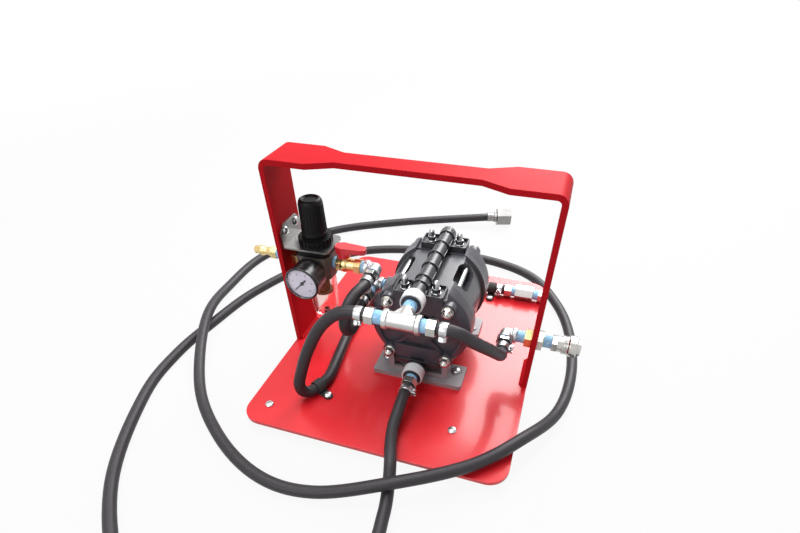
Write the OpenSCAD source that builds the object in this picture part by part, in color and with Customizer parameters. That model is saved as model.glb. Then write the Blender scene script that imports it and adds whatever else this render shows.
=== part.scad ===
// Portable air-operated double-diaphragm pump set.
// A flat carry plate with a bent-bar handle carries the pump, a filter
// regulator, a ball valve and the hoses that join them.
// Millimetres, +Z up, +Y to the back. The origin lies on the floor, under
// the middle of the plate.

// Piece to build, or "all"

/* [Carry frame] */
// Width of the plate, and of the handle over its uprights
base_w = 300; // [280:5:340]
// Depth of the plate
base_d = 360; // [330:5:420]
// Thickness of the plate
base_t = 5; // [4:0.5:8]
// Radius of the plate's corners
base_r = 22; // [10:1:40]
// Height of the rubber feet
foot_h = 10; // [9:1:20]
// Radius of the rubber feet at the plate
foot_r = 13; // [10:0.5:16]
// Height of the handle above the plate
handle_h = 232; // [215:1:280]
// Width of the handle's flat bar
bar_w = 50; // [44:1:60]
// Thickness of the handle's flat bar
bar_t = 6; // [4:0.5:8]
// Outer radius of the two bends of the bar
bend_r = 11; // [9:0.5:20]
// Width of the narrowed grip
grip_w = 27; // [22:0.5:40]
// Length of the narrowed grip
grip_len = 145; // [100:5:160]
// Length of the taper at each end of the grip
grip_taper = 26; // [10:1:40]
// Middle of the bar, in front of the middle of the plate
handle_y = -15; // [-30:1:0]

/* [Pump] */
// Middle of the pump, to the right of the plate's middle
pump_x = 23; // [15:1:30]
// Middle of the pump, behind the plate's middle
pump_y = -1; // [-10:1:10]
// Pump axis above the plate
pump_rise = 73; // [71:1:90]
// Radius of the pump's round housings
drum_r = 57; // [55:0.5:62]
// Half the length of the centre block
block_half = 36; // [35:0.5:42]
// Length of an outer chamber without its bosses
chamber_len = 22; // [21:0.5:28]
// Tie bolts to the side of the pump axis
bolt_x = 33; // [32:0.5:36]
// Tie bolts above and below the pump axis
bolt_z = 34.5; // [33:0.5:38]
// Port axes inside the edge of the round housings
port_in = 6; // [4:0.5:6.5]
// Outer radius of the manifold tubes
tube_r = 8; // [7.5:0.25:9]
// Radius of the check balls
ball_r = 4.5; // [4:0.1:4.8]
// Lift of the check balls
ball_lift = 2.5; // [1.5:0.1:2.6]
// Travel of the diaphragm shaft to each side
stroke = 7; // [4:0.5:8]
// Radius of the diaphragm shaft
shaft_r = 8; // [6:0.5:9]
// Width of the pump's feet
foot_plate_w = 108; // [104:1:120]

/* [Filter regulator and valve] */
// Air line above the plate
air_rise = 111; // [105:1:130]
// Regulator axis from the upright's inner face
frl_off = 32; // [30:0.5:38]
// Width of the regulator's body
frl_w = 40; // [36:1:42]
// Radius of the knob at its foot
knob_r = 14.5; // [14:0.25:16]
// Height of the knob
knob_h = 41; // [36:1:50]
// Pull of the knob that frees it to turn
knob_pull = 4; // [2:0.5:5]
// Radius of the pressure gauge
gauge_r = 20; // [18:0.5:23]
// Depth of the pressure gauge
gauge_d = 25; // [20:0.5:30]
// Radius of the clear bowl
bowl_r = 17; // [15:0.5:17.5]
// Length of the clear bowl
bowl_h = 60; // [50:1:64]
// Length of the valve lever from its stem
lever_len = 27; // [20:0.5:40]

/* [Hoses and fittings] */
// Outer radius of every hose
hose_r = 6.5; // [5.5:0.1:6.8]
// Radius of the pipe threads
thread_r = 6.5; // [6:0.1:6.7]
// Hexagon of the fittings, across its flats
fitting_af = 16; // [14:0.5:18]
// Outlet line above the plate
out_rise = 54; // [50:1:70]
// Outlet elbow from the right upright's inner face
out_elbow_off = 29; // [26:0.5:34]
// Outlet tee in front of the pump's middle
tee_off = 111; // [108:0.5:118]
// Half the length of the tee's run
tee_half = 19; // [17:0.5:22]
// Travel of the coupler's sleeve
sleeve_pull = 5; // [3:0.5:5.5]

/* [Hidden] */
$fn = 48;
eps = 0.01;
// Clearances: running fit, thread in its bore, bolt in its hole, free gap,
// band round a hose
run = 0.04;
slip = 0.05;
hole = 0.2;
gap = 0.3;
snug = 0.25;

// Heights of the plate, the pump axis, its ports and the two air lines
plate_z = foot_h + base_t;
pump_z = plate_z + pump_rise;
port_rise = drum_r - port_in;
top_z = pump_z + port_rise;
low_z = pump_z - port_rise;
air_z = plate_z + air_rise;
out_z = plate_z + out_rise;
bar_top = plate_z + handle_h;
side_x = base_w / 2;
inner_x = side_x - bar_t;

// Screws of the rubber feet and bolts of the hose clips
foot_in = [24, 27];
spare_in = [67.5, 53];
foot_xy = [base_w / 2 - foot_in[0], base_d / 2 - foot_in[1]];
m5_r = 2.5;
m5_head_r = 4.75;
m5_head_h = 2.8;
m5_nut_af = 8;
m5_nut_h = 4;
m5_tail = 5;

// Pump sizes, from the middle of the pump
flange_z = port_rise - tube_r;
cavity_r = drum_r - 21;
cavity_floor_r = cavity_r - 12;
rim_r = cavity_r + 4;
rim_t = 2;
chamber_end = block_half + chamber_len;
wall_d = 3;
boss_end = chamber_end + 4;
boss_r = 8;
valve_y = block_half + 15;
flange_half = 27;
flange_len = 12;
flange_t = 4;
stud_x = 17;
stud_r = 2.5;
stud_cap = [9, 5];
seat_t = 3;
seat_bore = ball_r - 1;
valve_r = ball_r + 1.5;
ball_sit = sqrt(ball_r * ball_r - seat_bore * seat_bore) + 0.06;
valve_depth = seat_t + ball_sit + ball_r + ball_lift + 0.1;
seat_low = flange_z - valve_depth;
passage = 12;
plate_r = cavity_r - 16;
plate_t = 4;
dome_t = 2;
// Room for the diaphragm plates on the air side and on the liquid side
air_depth = plate_t + stroke + 1.5;
liquid_depth = rim_t + plate_t + dome_t + stroke + 1;
pin_r = 4;
tie_r = 3;
washer_r = 6.5;
washer_t = 1.5;
nut_af = 10;
nut_h = 6;
port_r = 10.3;
port_ring_r = 12.25;
port_ring_l = 12;
port_front = 84;
port_back = 66;
tube_back = valve_y + 7;
tube_bore = tube_r - 3;
plug_l = 8;
plug_r = tube_r + 1.3;
plug_proud = 0.7;
notch_r = plug_r + 2 * plug_proud;
notch_d = plug_r + plug_proud + gap - tube_r;
spool_r = 6;
spool_half = 16;
spool_move = 4;
spool_drop = 22;
air_port_y = -5;
air_port_z = 12;
boss_out = drum_r - 2;
foot_plate_t = 6;
foot_plate_d = 36;
foot_mid = block_half + 13;
foot_corner = 3;
foot_slot = [43, 42];
post_in = 29;
post_out = 36;
post_y = [40, 60];

// Regulator sizes, heights above the air line
frl_x = -inner_x + frl_off;
frl_y = handle_y;
frl_half = frl_w / 2;
body_top = 14;
body_low = -14;
socket_low = -16;
frl_corner = 9;
port_boss_r = 9.5;
port_depth = 9;
bonnet_top = 21;
bracket_t = 2;
ring_h = 9;
ring_r = 19.5;
neck_r = 15;
neck_top = 33;
spindle_r = 11.5;
spindle_top = neck_top + 9 + knob_pull;
screw_r = 4;
screw_head_r = 5;
knob_low = neck_top + 1;
knob_top_r = knob_r - 0.8;
gauge_z = -4;
gauge_gap = 3;
gauge_stem_r = 4.9;
dial_back = 4;
needle_at = 225;
bowl_wall = 2.5;
element_r = 8.5;
element_h = 28;
drain_r = 4;

// Valve and elbow places along the air line
valve_x = frl_x + frl_half + 13;
valve_ball_r = 9;
valve_half = 21;
valve_bore = 3.5;
valve_barrel_r = 7.5;
valve_neck_r = 5.5;
ball_v_r = 6;
stem_r = 3;
lever_low = 15;
lever_t = 9;
stem_af = 5.5;
stem_hex_h = 5;
elbow_r = 7.5;
band_r = 9;
band_l = 5;
leg = 12;
bite = 5;
seal_l = 4;
elbow1 = [valve_x + valve_half + seal_l + leg, frl_y, air_z];
inlet = [pump_x - boss_out, pump_y + air_port_y, pump_z + air_port_z];
elbow2 = [inlet[0] - seal_l - leg, inlet[1], inlet[2]];

// Outlet line
tee = [pump_x, pump_y - tee_off, top_z];
tee_branch = 17;
tee_thread = 8;
out_elbow = [inner_x - out_elbow_off, handle_y, out_z];
hex_t = 8;
barrel_r = 8;
barrel_out = 6.6;
bulk_af = 19;
bulk_nut_af = 21;
bulk_nut_h = 6;
bulk_bore = 4;
plug_step = 16;
plug_len = 47;
coupler_r = 9;
coupler_bore = 6.1;
sleeve_r = 12;
sleeve_len = 16;

// Return line along the back of the plate
back_in = [42, 44];
back_rise = 9.6;
back = [side_x - back_in[0], base_d / 2 - back_in[1], plate_z + back_rise];
coupling_len = 25;
coupling_af = 18;
end_band = 7;
end_hex = 10;
end_bore = 5.7;
clip_t = 1.2;
clip_w = 10;
clip_reach = 14.5;
clip_z = plate_z + clip_t + hose_r + snug;
front_clip = [-80.5, -116];
front_clip_turn = -22;
rear_clip = [back[0] - 33, back[1]];

// Hose barbs: face of the fitting, direction, sealed thread, hexagon
barb_tail = 22;
barb_r = 4.6;
clamp_off = 3.5;
clamp_w = 7.5;
clamp_t = 1;
BARBS = [
  [[tee[0] + tee_half, tee[1], tee[2]], [0, 90, 0], 6, 9],
  [[tee[0] - tee_half, tee[1], tee[2]], [0, -90, 0], 9, 9],
  [[out_elbow[0], out_elbow[1] - leg, out_elbow[2]], [90, 0, 0], 2, 4],
  [[elbow1[0], elbow1[1] - leg, elbow1[2]], [90, 0, 0], 2, 6],
  [[elbow2[0], elbow2[1] - leg, elbow2[2]], [90, 0, 0], 10, 10],
  [[pump_x, pump_y - port_front, low_z], [90, 0, 0], 5, 8],
  [[back[0], back[1], back[2]], [0, -90, 0], 5, 10]
];
// Sealed threads besides the barbs: start, direction, length
BANDS = [
  [[-inner_x + hex_t, frl_y, air_z], [0, 90, 0], frl_off - frl_half - hex_t],
  [[-side_x - plug_step, frl_y, air_z], [0, 90, 0], plug_step - barrel_out],
  [[side_x + barrel_out, handle_y, out_z], [0, 90, 0], plug_step - barrel_out],
  [[out_elbow[0] + leg, handle_y, out_z], [0, 90, 0], out_elbow_off - leg - hex_t],
  [[frl_x + frl_half, frl_y, air_z], [0, 90, 0], seal_l],
  [[valve_x + valve_half, frl_y, air_z], [0, 90, 0], seal_l],
  [[inlet[0] - seal_l, inlet[1], inlet[2]], [0, 90, 0], seal_l],
  [[tee[0], tee[1] + tee_branch, tee[2]], [-90, 0, 0],
    tee_off - tee_branch - port_front],
  [[back[0] + coupling_len, back[1], back[2]], [0, 90, 0], end_band]
];
function barb_end(i) = BARBS[i][2] + BARBS[i][3];

// Hose routes, as points of the middle line
hose_sides = 10;
out_start = [BARBS[0][0][0] + barb_end(0), tee[1], tee[2]];
out_end = [out_elbow[0], BARBS[2][0][1] - barb_end(2), out_elbow[2]];
OUTLET_ROUTE = [
  out_start, out_start + [7, 0, 0], out_start + [14, 0, 0],
  out_start + [23.5, 1.5, -3.5], out_start + [32.5, 6.5, -12.5],
  out_end + [-17, -64.5, 47], out_end + [-8.5, -54, 34.5], out_end + [-2, -42, 21],
  out_end + [1, -29, 8.5], out_end + [0.2, -15.5, 0.6], out_end + [0, -8, 0], out_end
];
air_start = [elbow1[0], BARBS[3][0][1] - barb_end(3), elbow1[2]];
air_end = [elbow2[0], BARBS[4][0][1] - barb_end(4), elbow2[2]];
AIR_ROUTE = [
  air_start, air_start + [0, -7, 0], air_start + [0, -14, 0],
  air_start + [-1, -25.8, 1.8], air_start + [-3.1, -38.2, 0.5],
  air_start + [-5.3, -49.7, -5.6], air_end + [-0.2, -54.4, 9.3],
  air_end + [-0.4, -53.1, -3.6], air_end + [0.4, -44.8, -11],
  air_end + [0.6, -34.2, -10.7], air_end + [0.1, -23.1, -3.2],
  air_end + [0, -14, 0], air_end + [0, -7, 0], air_end
];
ret_start = [BARBS[1][0][0] - barb_end(1), tee[1], tee[2]];
ret_end = [BARBS[6][0][0] - barb_end(6), back[1], back[2]];
lie_z = plate_z + hose_r + gap;
RETURN_ROUTE = [
  ret_start, ret_start + [-7, 0, 0], ret_start + [-14, 0, 0],
  ret_start + [-25, -1, -2],
  ret_start + [-39, -3, -11], ret_start + [-53, -7, -28],
  ret_start + [-67, -13, -57], [-90, -130, plate_z + 40],
  [-93, -134, plate_z + 25], [-91.5, -133.5, plate_z + 14],
  [-87.5, -129, clip_z + 1], [-83.5, -123.4, clip_z], [-80.5, -116, clip_z],
  [-77.5, -108.6, clip_z], [-76, -94, lie_z], [-80, -60, lie_z],
  [-85, -20, lie_z], [-87, 20, lie_z], [-85, 60, lie_z], [-73, 98, lie_z],
  [-48, 125, lie_z + 1], [-16, back[1], back[2]], [6, back[1], back[2]],
  [34, back[1], back[2]], [62, back[1], back[2]], ret_end
];
suck_start = [pump_x, BARBS[5][0][1] - barb_end(5), low_z];
floor_z = hose_r;
over_z = plate_z + 8;
over_screw_z = plate_z + m5_head_h + hose_r + 2 * gap;
end_at = [31, 368, 16];
SUCTION_ROUTE = [
  suck_start, suck_start + [0, -9, 0], suck_start + [0, -18, 0],
  suck_start + [0, -34, -4.5], [23, -150, over_z + 2], [28, -172, over_z],
  [34, -190, 21.5], [39, -210, 12.5], [44, -240, floor_z], [45, -285, floor_z],
  [20, -348, floor_z], [-50, -392, floor_z], [-145, -371, floor_z],
  [-232, -290, floor_z], [-283, -180, floor_z], [-293, -105, floor_z],
  [-285, -32, floor_z], [-268, 48, floor_z], [-225, 135, floor_z],
  [-155, 205, floor_z], [-60, 236, floor_z], [45, 238, floor_z],
  [123, 210, floor_z], [169, 147, floor_z], [192, 80, floor_z],
  [199, 5, floor_z], [188, -64, 10], [155, -125, over_screw_z],
  [112, -172, over_screw_z], [46, -214, 25.5], [-30, -239, 10],
  [-95, -237, floor_z], [-165, -203, floor_z], [-230, -143, 9.5],
  [-286, -42, 21], [-312, 50, 9], [-305, 150, floor_z], [-235, 252, floor_z],
  [-125, 320, floor_z], end_at
];
end_turn = 17;
ferrule_grip = 8;
ferrule_out = 4;
ferrule_wall = 1.2;
ferrule_af = 17;
ferrule_hex = 4;
ferrule_bore = 4;
swivel_neck = 1;
swivel_r = 7;
swivel_af = 27;
swivel_l = 24;
swivel_bore = 9;
swivel_step = 2;

// Middle line of a hose: a smooth curve through its points, k steps a span
function cr(a, b, c, d, t) = 0.5 * (2 * b + (c - a) * t
  + (2 * a - 5 * b + 4 * c - d) * t * t + (3 * b - a - 3 * c + d) * t * t * t);
function pt(p, i) = i < 0 ? 2 * p[0] - p[1]
  : i >= len(p) ? 2 * p[len(p) - 1] - p[len(p) - 2] : p[i];
function curve(p, k) = concat(
  [for (i = [0:len(p) - 2], j = [0:k - 1])
    cr(pt(p, i - 1), pt(p, i), pt(p, i + 1), pt(p, i + 2), j / k)],
  [p[len(p) - 1]]);
function unit(v) = v / norm(v);
function tangent(c, i) = unit(c[min(i + 1, len(c) - 1)] - c[max(i - 1, 0)]);
function square_to(n, t) = unit(n - (n * t) * t);
// Each ring's side vector is the last one's, laid square to the new tangent
function sides_of(c, i = 0, n = [0, 0, 1], out = []) = i >= len(c) ? out
  : let (t = tangent(c, i), m = square_to(abs(n * t) > 0.99 ? [1, 0, 0.2] : n, t))
    sides_of(c, i + 1, m, concat(out, [m]));

module sweep(route, k, r) {
  c = curve(route, k);
  m = sides_of(c);
  s = hose_sides;
  points = [for (i = [0:len(c) - 1], a = [0:s - 1])
    let (u = m[i], v = cross(tangent(c, i), u), w = 360 * a / s)
      c[i] + r * (u * cos(w) + v * sin(w))];
  last = (len(c) - 1) * s;
  faces = concat(
    [for (i = [0:len(c) - 2], a = [0:s - 1])
      [i * s + a, (i + 1) * s + a, i * s + (a + 1) % s]],
    [for (i = [0:len(c) - 2], a = [0:s - 1])
      [i * s + (a + 1) % s, (i + 1) * s + a, (i + 1) * s + (a + 1) % s]],
    [for (a = [1:s - 2]) [0, a, a + 1]],
    [for (a = [1:s - 2]) [last, last + a + 1, last + a]]);
  polyhedron(points = points, faces = faces, convexity = 10);
}

// Round and hexagon bars along one axis, and other shared forms
module xbar(r, x0, x1) {
  translate([x0, 0, 0]) rotate([0, 90, 0]) cylinder(r = r, h = x1 - x0);
}
module ybar(r, y0, y1) {
  translate([0, y0, 0]) rotate([-90, 0, 0]) cylinder(r = r, h = y1 - y0);
}
module zbar(r, z0, z1) {
  translate([0, 0, z0]) cylinder(r = r, h = z1 - z0);
}
module hex(af, h) {
  cylinder(r = af / 2 / cos(30), h = h, $fn = 6);
}
module ring(r_out, r_in, h) {
  difference() {
    cylinder(r = r_out, h = h);
    translate([0, 0, -1]) cylinder(r = r_in, h = h + 2);
  }
}
module rounded(w, d, r) {
  square([w - 2 * r, d], center = true);
  square([w, d - 2 * r], center = true);
  for (x = [-1, 1], y = [-1, 1]) {
    translate([x * (w / 2 - r), y * (d / 2 - r)]) circle(r = r);
  }
}
module at_pump() {
  translate([pump_x, pump_y, pump_z]) children();
}
module both_ends() {
  children();
  mirror([0, 1, 0]) children();
}
module both_sides() {
  children();
  mirror([1, 0, 0]) children();
}
module at_tie_bolts() {
  for (x = [-1, 1], z = [-1, 1]) {
    translate([x * bolt_x, 0, z * bolt_z]) children();
  }
}
module at_feet() {
  for (x = [-1, 1], y = [-1, 1]) {
    translate([x * foot_xy[0], y * foot_xy[1], 0]) children();
  }
}
module at_pump_bolts() {
  for (x = [-1, 1], y = [-1, 1]) {
    translate([pump_x + x * foot_slot[0], pump_y + y * foot_slot[1], 0]) children();
  }
}
module at_clip_bolts() {
  translate([front_clip[0], front_clip[1], 0]) rotate([0, 0, front_clip_turn])
    translate([clip_reach, 0, 0]) children();
  translate([rear_clip[0], rear_clip[1] - clip_reach, 0]) children();
}
module at_spare_bolt() {
  translate([side_x - spare_in[0], spare_in[1] - base_d / 2, 0]) children();
}
module at_frl() {
  translate([frl_x, frl_y, air_z]) children();
}

// Carry frame
module base_plate() color("firebrick") {
  difference() {
    translate([0, 0, foot_h]) linear_extrude(base_t) rounded(base_w, base_d, base_r);
    at_feet() zbar(m5_r + hole, 0, plate_z + 1);
    at_pump_bolts() zbar(m5_r + hole, 0, plate_z + 1);
    at_clip_bolts() zbar(m5_r + hole, 0, plate_z + 1);
    at_spare_bolt() zbar(m5_r + hole, 0, plate_z + 1);
  }
}

// Outline of the bent bar, seen from the front
module bent_bar() {
  difference() {
    union() {
      translate([-side_x, plate_z]) square([base_w, handle_h - bend_r]);
      translate([-side_x + bend_r, plate_z]) square([base_w - 2 * bend_r, handle_h]);
      for (x = [-1, 1]) {
        translate([x * (side_x - bend_r), bar_top - bend_r]) circle(r = bend_r);
      }
    }
    translate([-inner_x, plate_z - 1])
      square([2 * inner_x, handle_h - bend_r + 1]);
    translate([-inner_x + bend_r - bar_t, plate_z - 1])
      square([2 * (inner_x - bend_r + bar_t), handle_h - bar_t + 1]);
    for (x = [-1, 1]) {
      translate([x * (side_x - bend_r), bar_top - bend_r]) circle(r = bend_r - bar_t);
    }
  }
}
module grip_cut() {
  cut = (bar_w - grip_w) / 2;
  half = grip_len / 2;
  translate([0, bar_w / 2, bar_top - 2 * bar_t]) linear_extrude(3 * bar_t)
    polygon([[-half - grip_taper, 1], [-half - grip_taper, 0], [-half, -cut],
      [half, -cut], [half + grip_taper, 0], [half + grip_taper, 1]]);
}
module carry_handle() color("firebrick") {
  weld = 4;
  translate([0, handle_y, 0]) difference() {
    union() {
      translate([0, bar_w / 2, 0]) rotate([90, 0, 0]) linear_extrude(bar_w) bent_bar();
      both_sides() translate([inner_x, (bar_w - weld) / 2, plate_z]) rotate([90, 0, 0])
        linear_extrude(bar_w - weld)
          polygon([[bar_t / 2, 0], [-weld, 0], [0, weld], [bar_t / 2, weld]]);
    }
    both_ends() grip_cut();
    translate([0, 0, air_z]) xbar(barrel_r + hole, -side_x - 1, -inner_x + 1);
    translate([0, 0, out_z]) xbar(barrel_r + hole, inner_x - 1, side_x + 1);
    at_bracket_screws() xbar(m5_r + slip, -1, bar_t + 1);
  }
}
module rubber_feet() color("dimgray") {
  at_feet() difference() {
    rotate_extrude() polygon([[0, 0], [foot_r - 3, 0], [foot_r - 2, 1],
      [foot_r, foot_h], [0, foot_h]]);
    zbar(m5_r + slip, 3, foot_h + 1);
  }
}
module button_head(z) {
  translate([0, 0, z]) rotate_extrude() polygon([[0, 0], [m5_head_r, 0],
    [m5_head_r, m5_head_h * 0.4], [m5_head_r * 0.75, m5_head_h * 0.85],
    [1.6, m5_head_h], [1.6, m5_head_h * 0.5], [0, m5_head_h * 0.5]]);
}
module bolt_and_nut(z) {
  button_head(z);
  zbar(m5_r, foot_h - m5_tail, z);
  translate([0, 0, foot_h - m5_nut_h]) hex(m5_nut_af, m5_nut_h);
}
module base_bolts() color("silver") {
  at_feet() {
    button_head(plate_z);
    zbar(m5_r, 4, plate_z);
  }
  at_pump_bolts() {
    translate([0, 0, plate_z + foot_plate_t]) cylinder(r = 5, h = 1);
    bolt_and_nut(plate_z + foot_plate_t + 1);
  }
  at_clip_bolts() bolt_and_nut(plate_z + 2 * clip_t);
  at_spare_bolt() bolt_and_nut(plate_z);
}
// One clip: a band round a hose at height z, its two ends flat under the bolt
module hose_clip(z) {
  reach = clip_reach + 6;
  inner = hose_r + snug;
  difference() {
    union() {
      translate([0, 0, z]) ybar(inner + clip_t, -clip_w / 2, clip_w / 2);
      translate([0, -clip_w / 2, plate_z]) cube([reach - 5, clip_w, 2 * clip_t]);
      translate([reach - 5, 0, plate_z]) cylinder(r = clip_w / 2, h = 2 * clip_t);
    }
    translate([0, 0, z]) ybar(inner, -clip_w, clip_w);
    translate([clip_reach, 0, plate_z - 1]) cylinder(r = m5_r + hole, h = 5);
  }
}
module hose_clips() color("black") {
  translate([front_clip[0], front_clip[1], 0]) rotate([0, 0, front_clip_turn])
    hose_clip(clip_z);
  translate([rear_clip[0], rear_clip[1], 0]) rotate([0, 0, -90]) hose_clip(back[2]);
}

// Pump
module foot_outline() {
  difference() {
    rounded(foot_plate_w, foot_plate_d, foot_corner);
    for (x = [-1, 1]) {
      translate([x * foot_slot[0], foot_mid - foot_slot[1]]) {
        square([8, 2 * (m5_r + hole)], center = true);
        for (e = [-4, 4]) translate([e, 0]) circle(r = m5_r + hole);
      }
    }
  }
}
module pump_foot() {
  top = pump_z - flange_z;
  translate([0, -foot_mid, plate_z]) linear_extrude(foot_plate_t) foot_outline();
  both_sides() translate([post_in, -post_y[1], plate_z])
    cube([post_out - post_in, post_y[1] - post_y[0], top - plate_z]);
  translate([-post_out, -post_y[1], plate_z])
    cube([2 * post_out, 4, low_z - tube_r - plate_z - 2]);
}
module pump_feet() color("dimgray") {
  translate([pump_x, pump_y, 0]) both_ends() pump_foot();
}

// Centre block: round end flanges, flat panels and a slot over each tie bolt
module centre_block() color("darkslategray") at_pump() {
  slot_w = 21;
  slot_end = 13;
  slot_r = 38;
  end_ring = 9;
  waist = 4;
  slot_half = block_half - slot_end;
  angle = atan2(bolt_z, bolt_x);
  panel = flange_z - 1;
  difference() {
    union() {
      ybar(drum_r, -block_half, -block_half + end_ring);
      ybar(drum_r, block_half - end_ring, block_half);
      ybar(drum_r - waist, -block_half + 4, block_half - 4);
      translate([0, air_port_y, air_port_z]) xbar(11, -boss_out, -30);
    }
    for (z = [-1, 1]) {
      translate([-30, -block_half - 1, z > 0 ? panel : -panel - 30])
        cube([60, 2 * block_half + 2, 30]);
      translate([-12, -block_half - 1, z > 0 ? panel - 1 : -panel - 30])
        cube([24, 2 * block_half + 2, 31]);
    }
    for (x = [-1, 1], z = [-1, 1]) {
      rotate([0, x > 0 ? -z * angle : 180 + z * angle, 0]) {
        translate([slot_r, -slot_half + slot_w / 2, -slot_w / 2])
          cube([drum_r, 2 * slot_half - slot_w, slot_w]);
        for (y = [-1, 1]) {
          translate([0, y * (slot_half - slot_w / 2), 0])
            xbar(slot_w / 2, slot_r, slot_r + drum_r);
        }
      }
    }
    ybar(shaft_r + run, -block_half, block_half);
    both_ends() rotate([90, 0, 0]) translate([0, 0, block_half - air_depth])
      cylinder(r1 = cavity_floor_r, r2 = cavity_r, h = air_depth + eps);
    translate([0, 0, -spool_drop])
      ybar(spool_r + run, -spool_half - spool_move - 0.5, spool_half + spool_move + 0.5);
    at_tie_bolts() ybar(tie_r + hole, -block_half - 1, block_half + 1);
    translate([0, air_port_y, air_port_z]) xbar(thread_r + slip, -boss_out - 1, -boss_out + 9);
  }
}

// Outer chamber, built at the front: ribbed face, four bosses, two valve housings
module chamber() {
  face = chamber_end - wall_d;
  difference() {
    union() {
      rotate([90, 0, 0]) rotate_extrude() polygon([[0, block_half],
        [drum_r, block_half], [drum_r, chamber_end - 8], [drum_r - 1, chamber_end - 5],
        [drum_r - 5, chamber_end - 2], [drum_r - 7, chamber_end],
        [drum_r - 10, chamber_end], [drum_r - 11, face], [20, face],
        [19, chamber_end + 1], [8, chamber_end + 3], [0, chamber_end + 3]]);
      at_tie_bolts() ybar(boss_r, -boss_end, -block_half);
      for (z = [-1, 1]) {
        translate([-flange_half, -valve_y - valve_r - 4, z > 0 ? seat_low - 6 : -flange_z])
          cube([2 * flange_half, valve_y + valve_r + 4 - block_half, flange_z - seat_low + 6]);
      }
      for (a = [45, 135, 225, 315]) {
        rotate([0, a, 0]) translate([14, -chamber_end - 1, -2]) cube([30, 6, 4]);
      }
      for (x = [-1, 1]) {
        translate([x * 31 - 18, -chamber_end, -2]) cube([36, 5, 4]);
      }
    }
    translate([-flange_half - 3, -boss_end - 1, flange_z])
      cube([2 * flange_half + 6, boss_end + 1, 30]);
    translate([-post_out - 1, -boss_end - 1, -flange_z - 30])
      cube([2 * post_out + 2, boss_end + 1, 30]);
    rotate([90, 0, 0]) translate([0, 0, block_half - eps])
      cylinder(r = rim_r + slip, h = rim_t + eps);
    rotate([90, 0, 0]) translate([0, 0, block_half + rim_t - eps])
      cylinder(r1 = cavity_r, r2 = cavity_floor_r, h = liquid_depth - rim_t + eps);
    at_tie_bolts() ybar(tie_r + hole, -boss_end - 1, -block_half + 1);
    for (z = [-flange_z - 1, flange_z - notch_d]) {
      translate([-tube_r, -boss_end - 1, z]) cube([2 * tube_r, boss_end + 1 - tube_back, notch_d + 1]);
    }
    translate([0, -valve_y, 0]) {
      zbar(valve_r, seat_low, flange_z + 1);
      zbar(seat_bore - hole, seat_low - passage, seat_low + 1);
      zbar(valve_r, -flange_z - 1, -seat_low + 0.5);
      zbar(seat_bore - hole, -seat_low, -seat_low + passage + 1);
      for (x = [-1, 1], z = [-1, 1]) {
        translate([x * stud_x, 0, z > 0 ? flange_z - 10 : -flange_z - 1])
          cylinder(r = stud_r + slip, h = 11);
      }
    }
  }
}
module front_chamber() color("black") at_pump() chamber();
module rear_chamber() color("black") at_pump() mirror([0, 1, 0]) chamber();

module diaphragm() {
  mid = block_half;
  out = mid + rim_t;
  fold = cavity_r - 8;
  rotate([90, 0, 0]) rotate_extrude() polygon([[pin_r + slip, mid],
    [fold - 6, mid], [fold - 4, mid - 1], [fold - 1, mid - 3], [fold + 2, mid - 3],
    [fold + 5, mid - 1], [cavity_r - 1, mid], [rim_r, mid], [rim_r, out],
    [cavity_r - 2, out], [fold + 4, out - 1], [fold + 1, out - 2.5],
    [fold - 1, out - 2.5], [fold - 3, out - 1], [fold - 5, out], [pin_r + slip, out]]);
}
module diaphragms() color("saddlebrown") at_pump() both_ends() diaphragm();
module diaphragm_shaft() color("silver") at_pump() {
  ybar(shaft_r, -block_half + plate_t, block_half - plate_t);
  ybar(pin_r, -block_half - rim_t - plate_t, block_half + rim_t + plate_t);
}
module diaphragm_plates() color("lightgray") at_pump() both_ends() {
  out = block_half + rim_t;
  difference() {
    rotate([90, 0, 0]) rotate_extrude() polygon([[0, block_half - plate_t],
      [plate_r - 2, block_half - plate_t], [plate_r, block_half - 1],
      [plate_r, block_half], [0, block_half]]);
    ybar(pin_r + slip, -block_half - 1, 0);
  }
  difference() {
    rotate([90, 0, 0]) rotate_extrude() polygon([[0, out], [plate_r, out],
      [plate_r, out + 1], [plate_r - 3, out + plate_t - 1],
      [9, out + plate_t + dome_t], [0, out + plate_t + dome_t]]);
    ybar(pin_r + slip, -out - plate_t - slip, 0);
  }
}
module air_spool() color("silver") at_pump() translate([0, 0, -spool_drop]) {
  rotate([90, 0, 0]) rotate_extrude() polygon([[0, -spool_half], [spool_r, -spool_half],
    [spool_r, -9], [4, -9], [4, -4], [spool_r, -4], [spool_r, 4], [4, 4], [4, 9],
    [spool_r, 9], [spool_r, spool_half], [0, spool_half]]);
}

// What of a rib stands clear of the flange under it
module upper_half() {
  reach = 2 * tube_r;
  intersection() {
    children();
    translate([-reach, -port_front, -tube_r / 4]) cube([2 * reach, 2 * port_front, reach]);
  }
}
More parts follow.
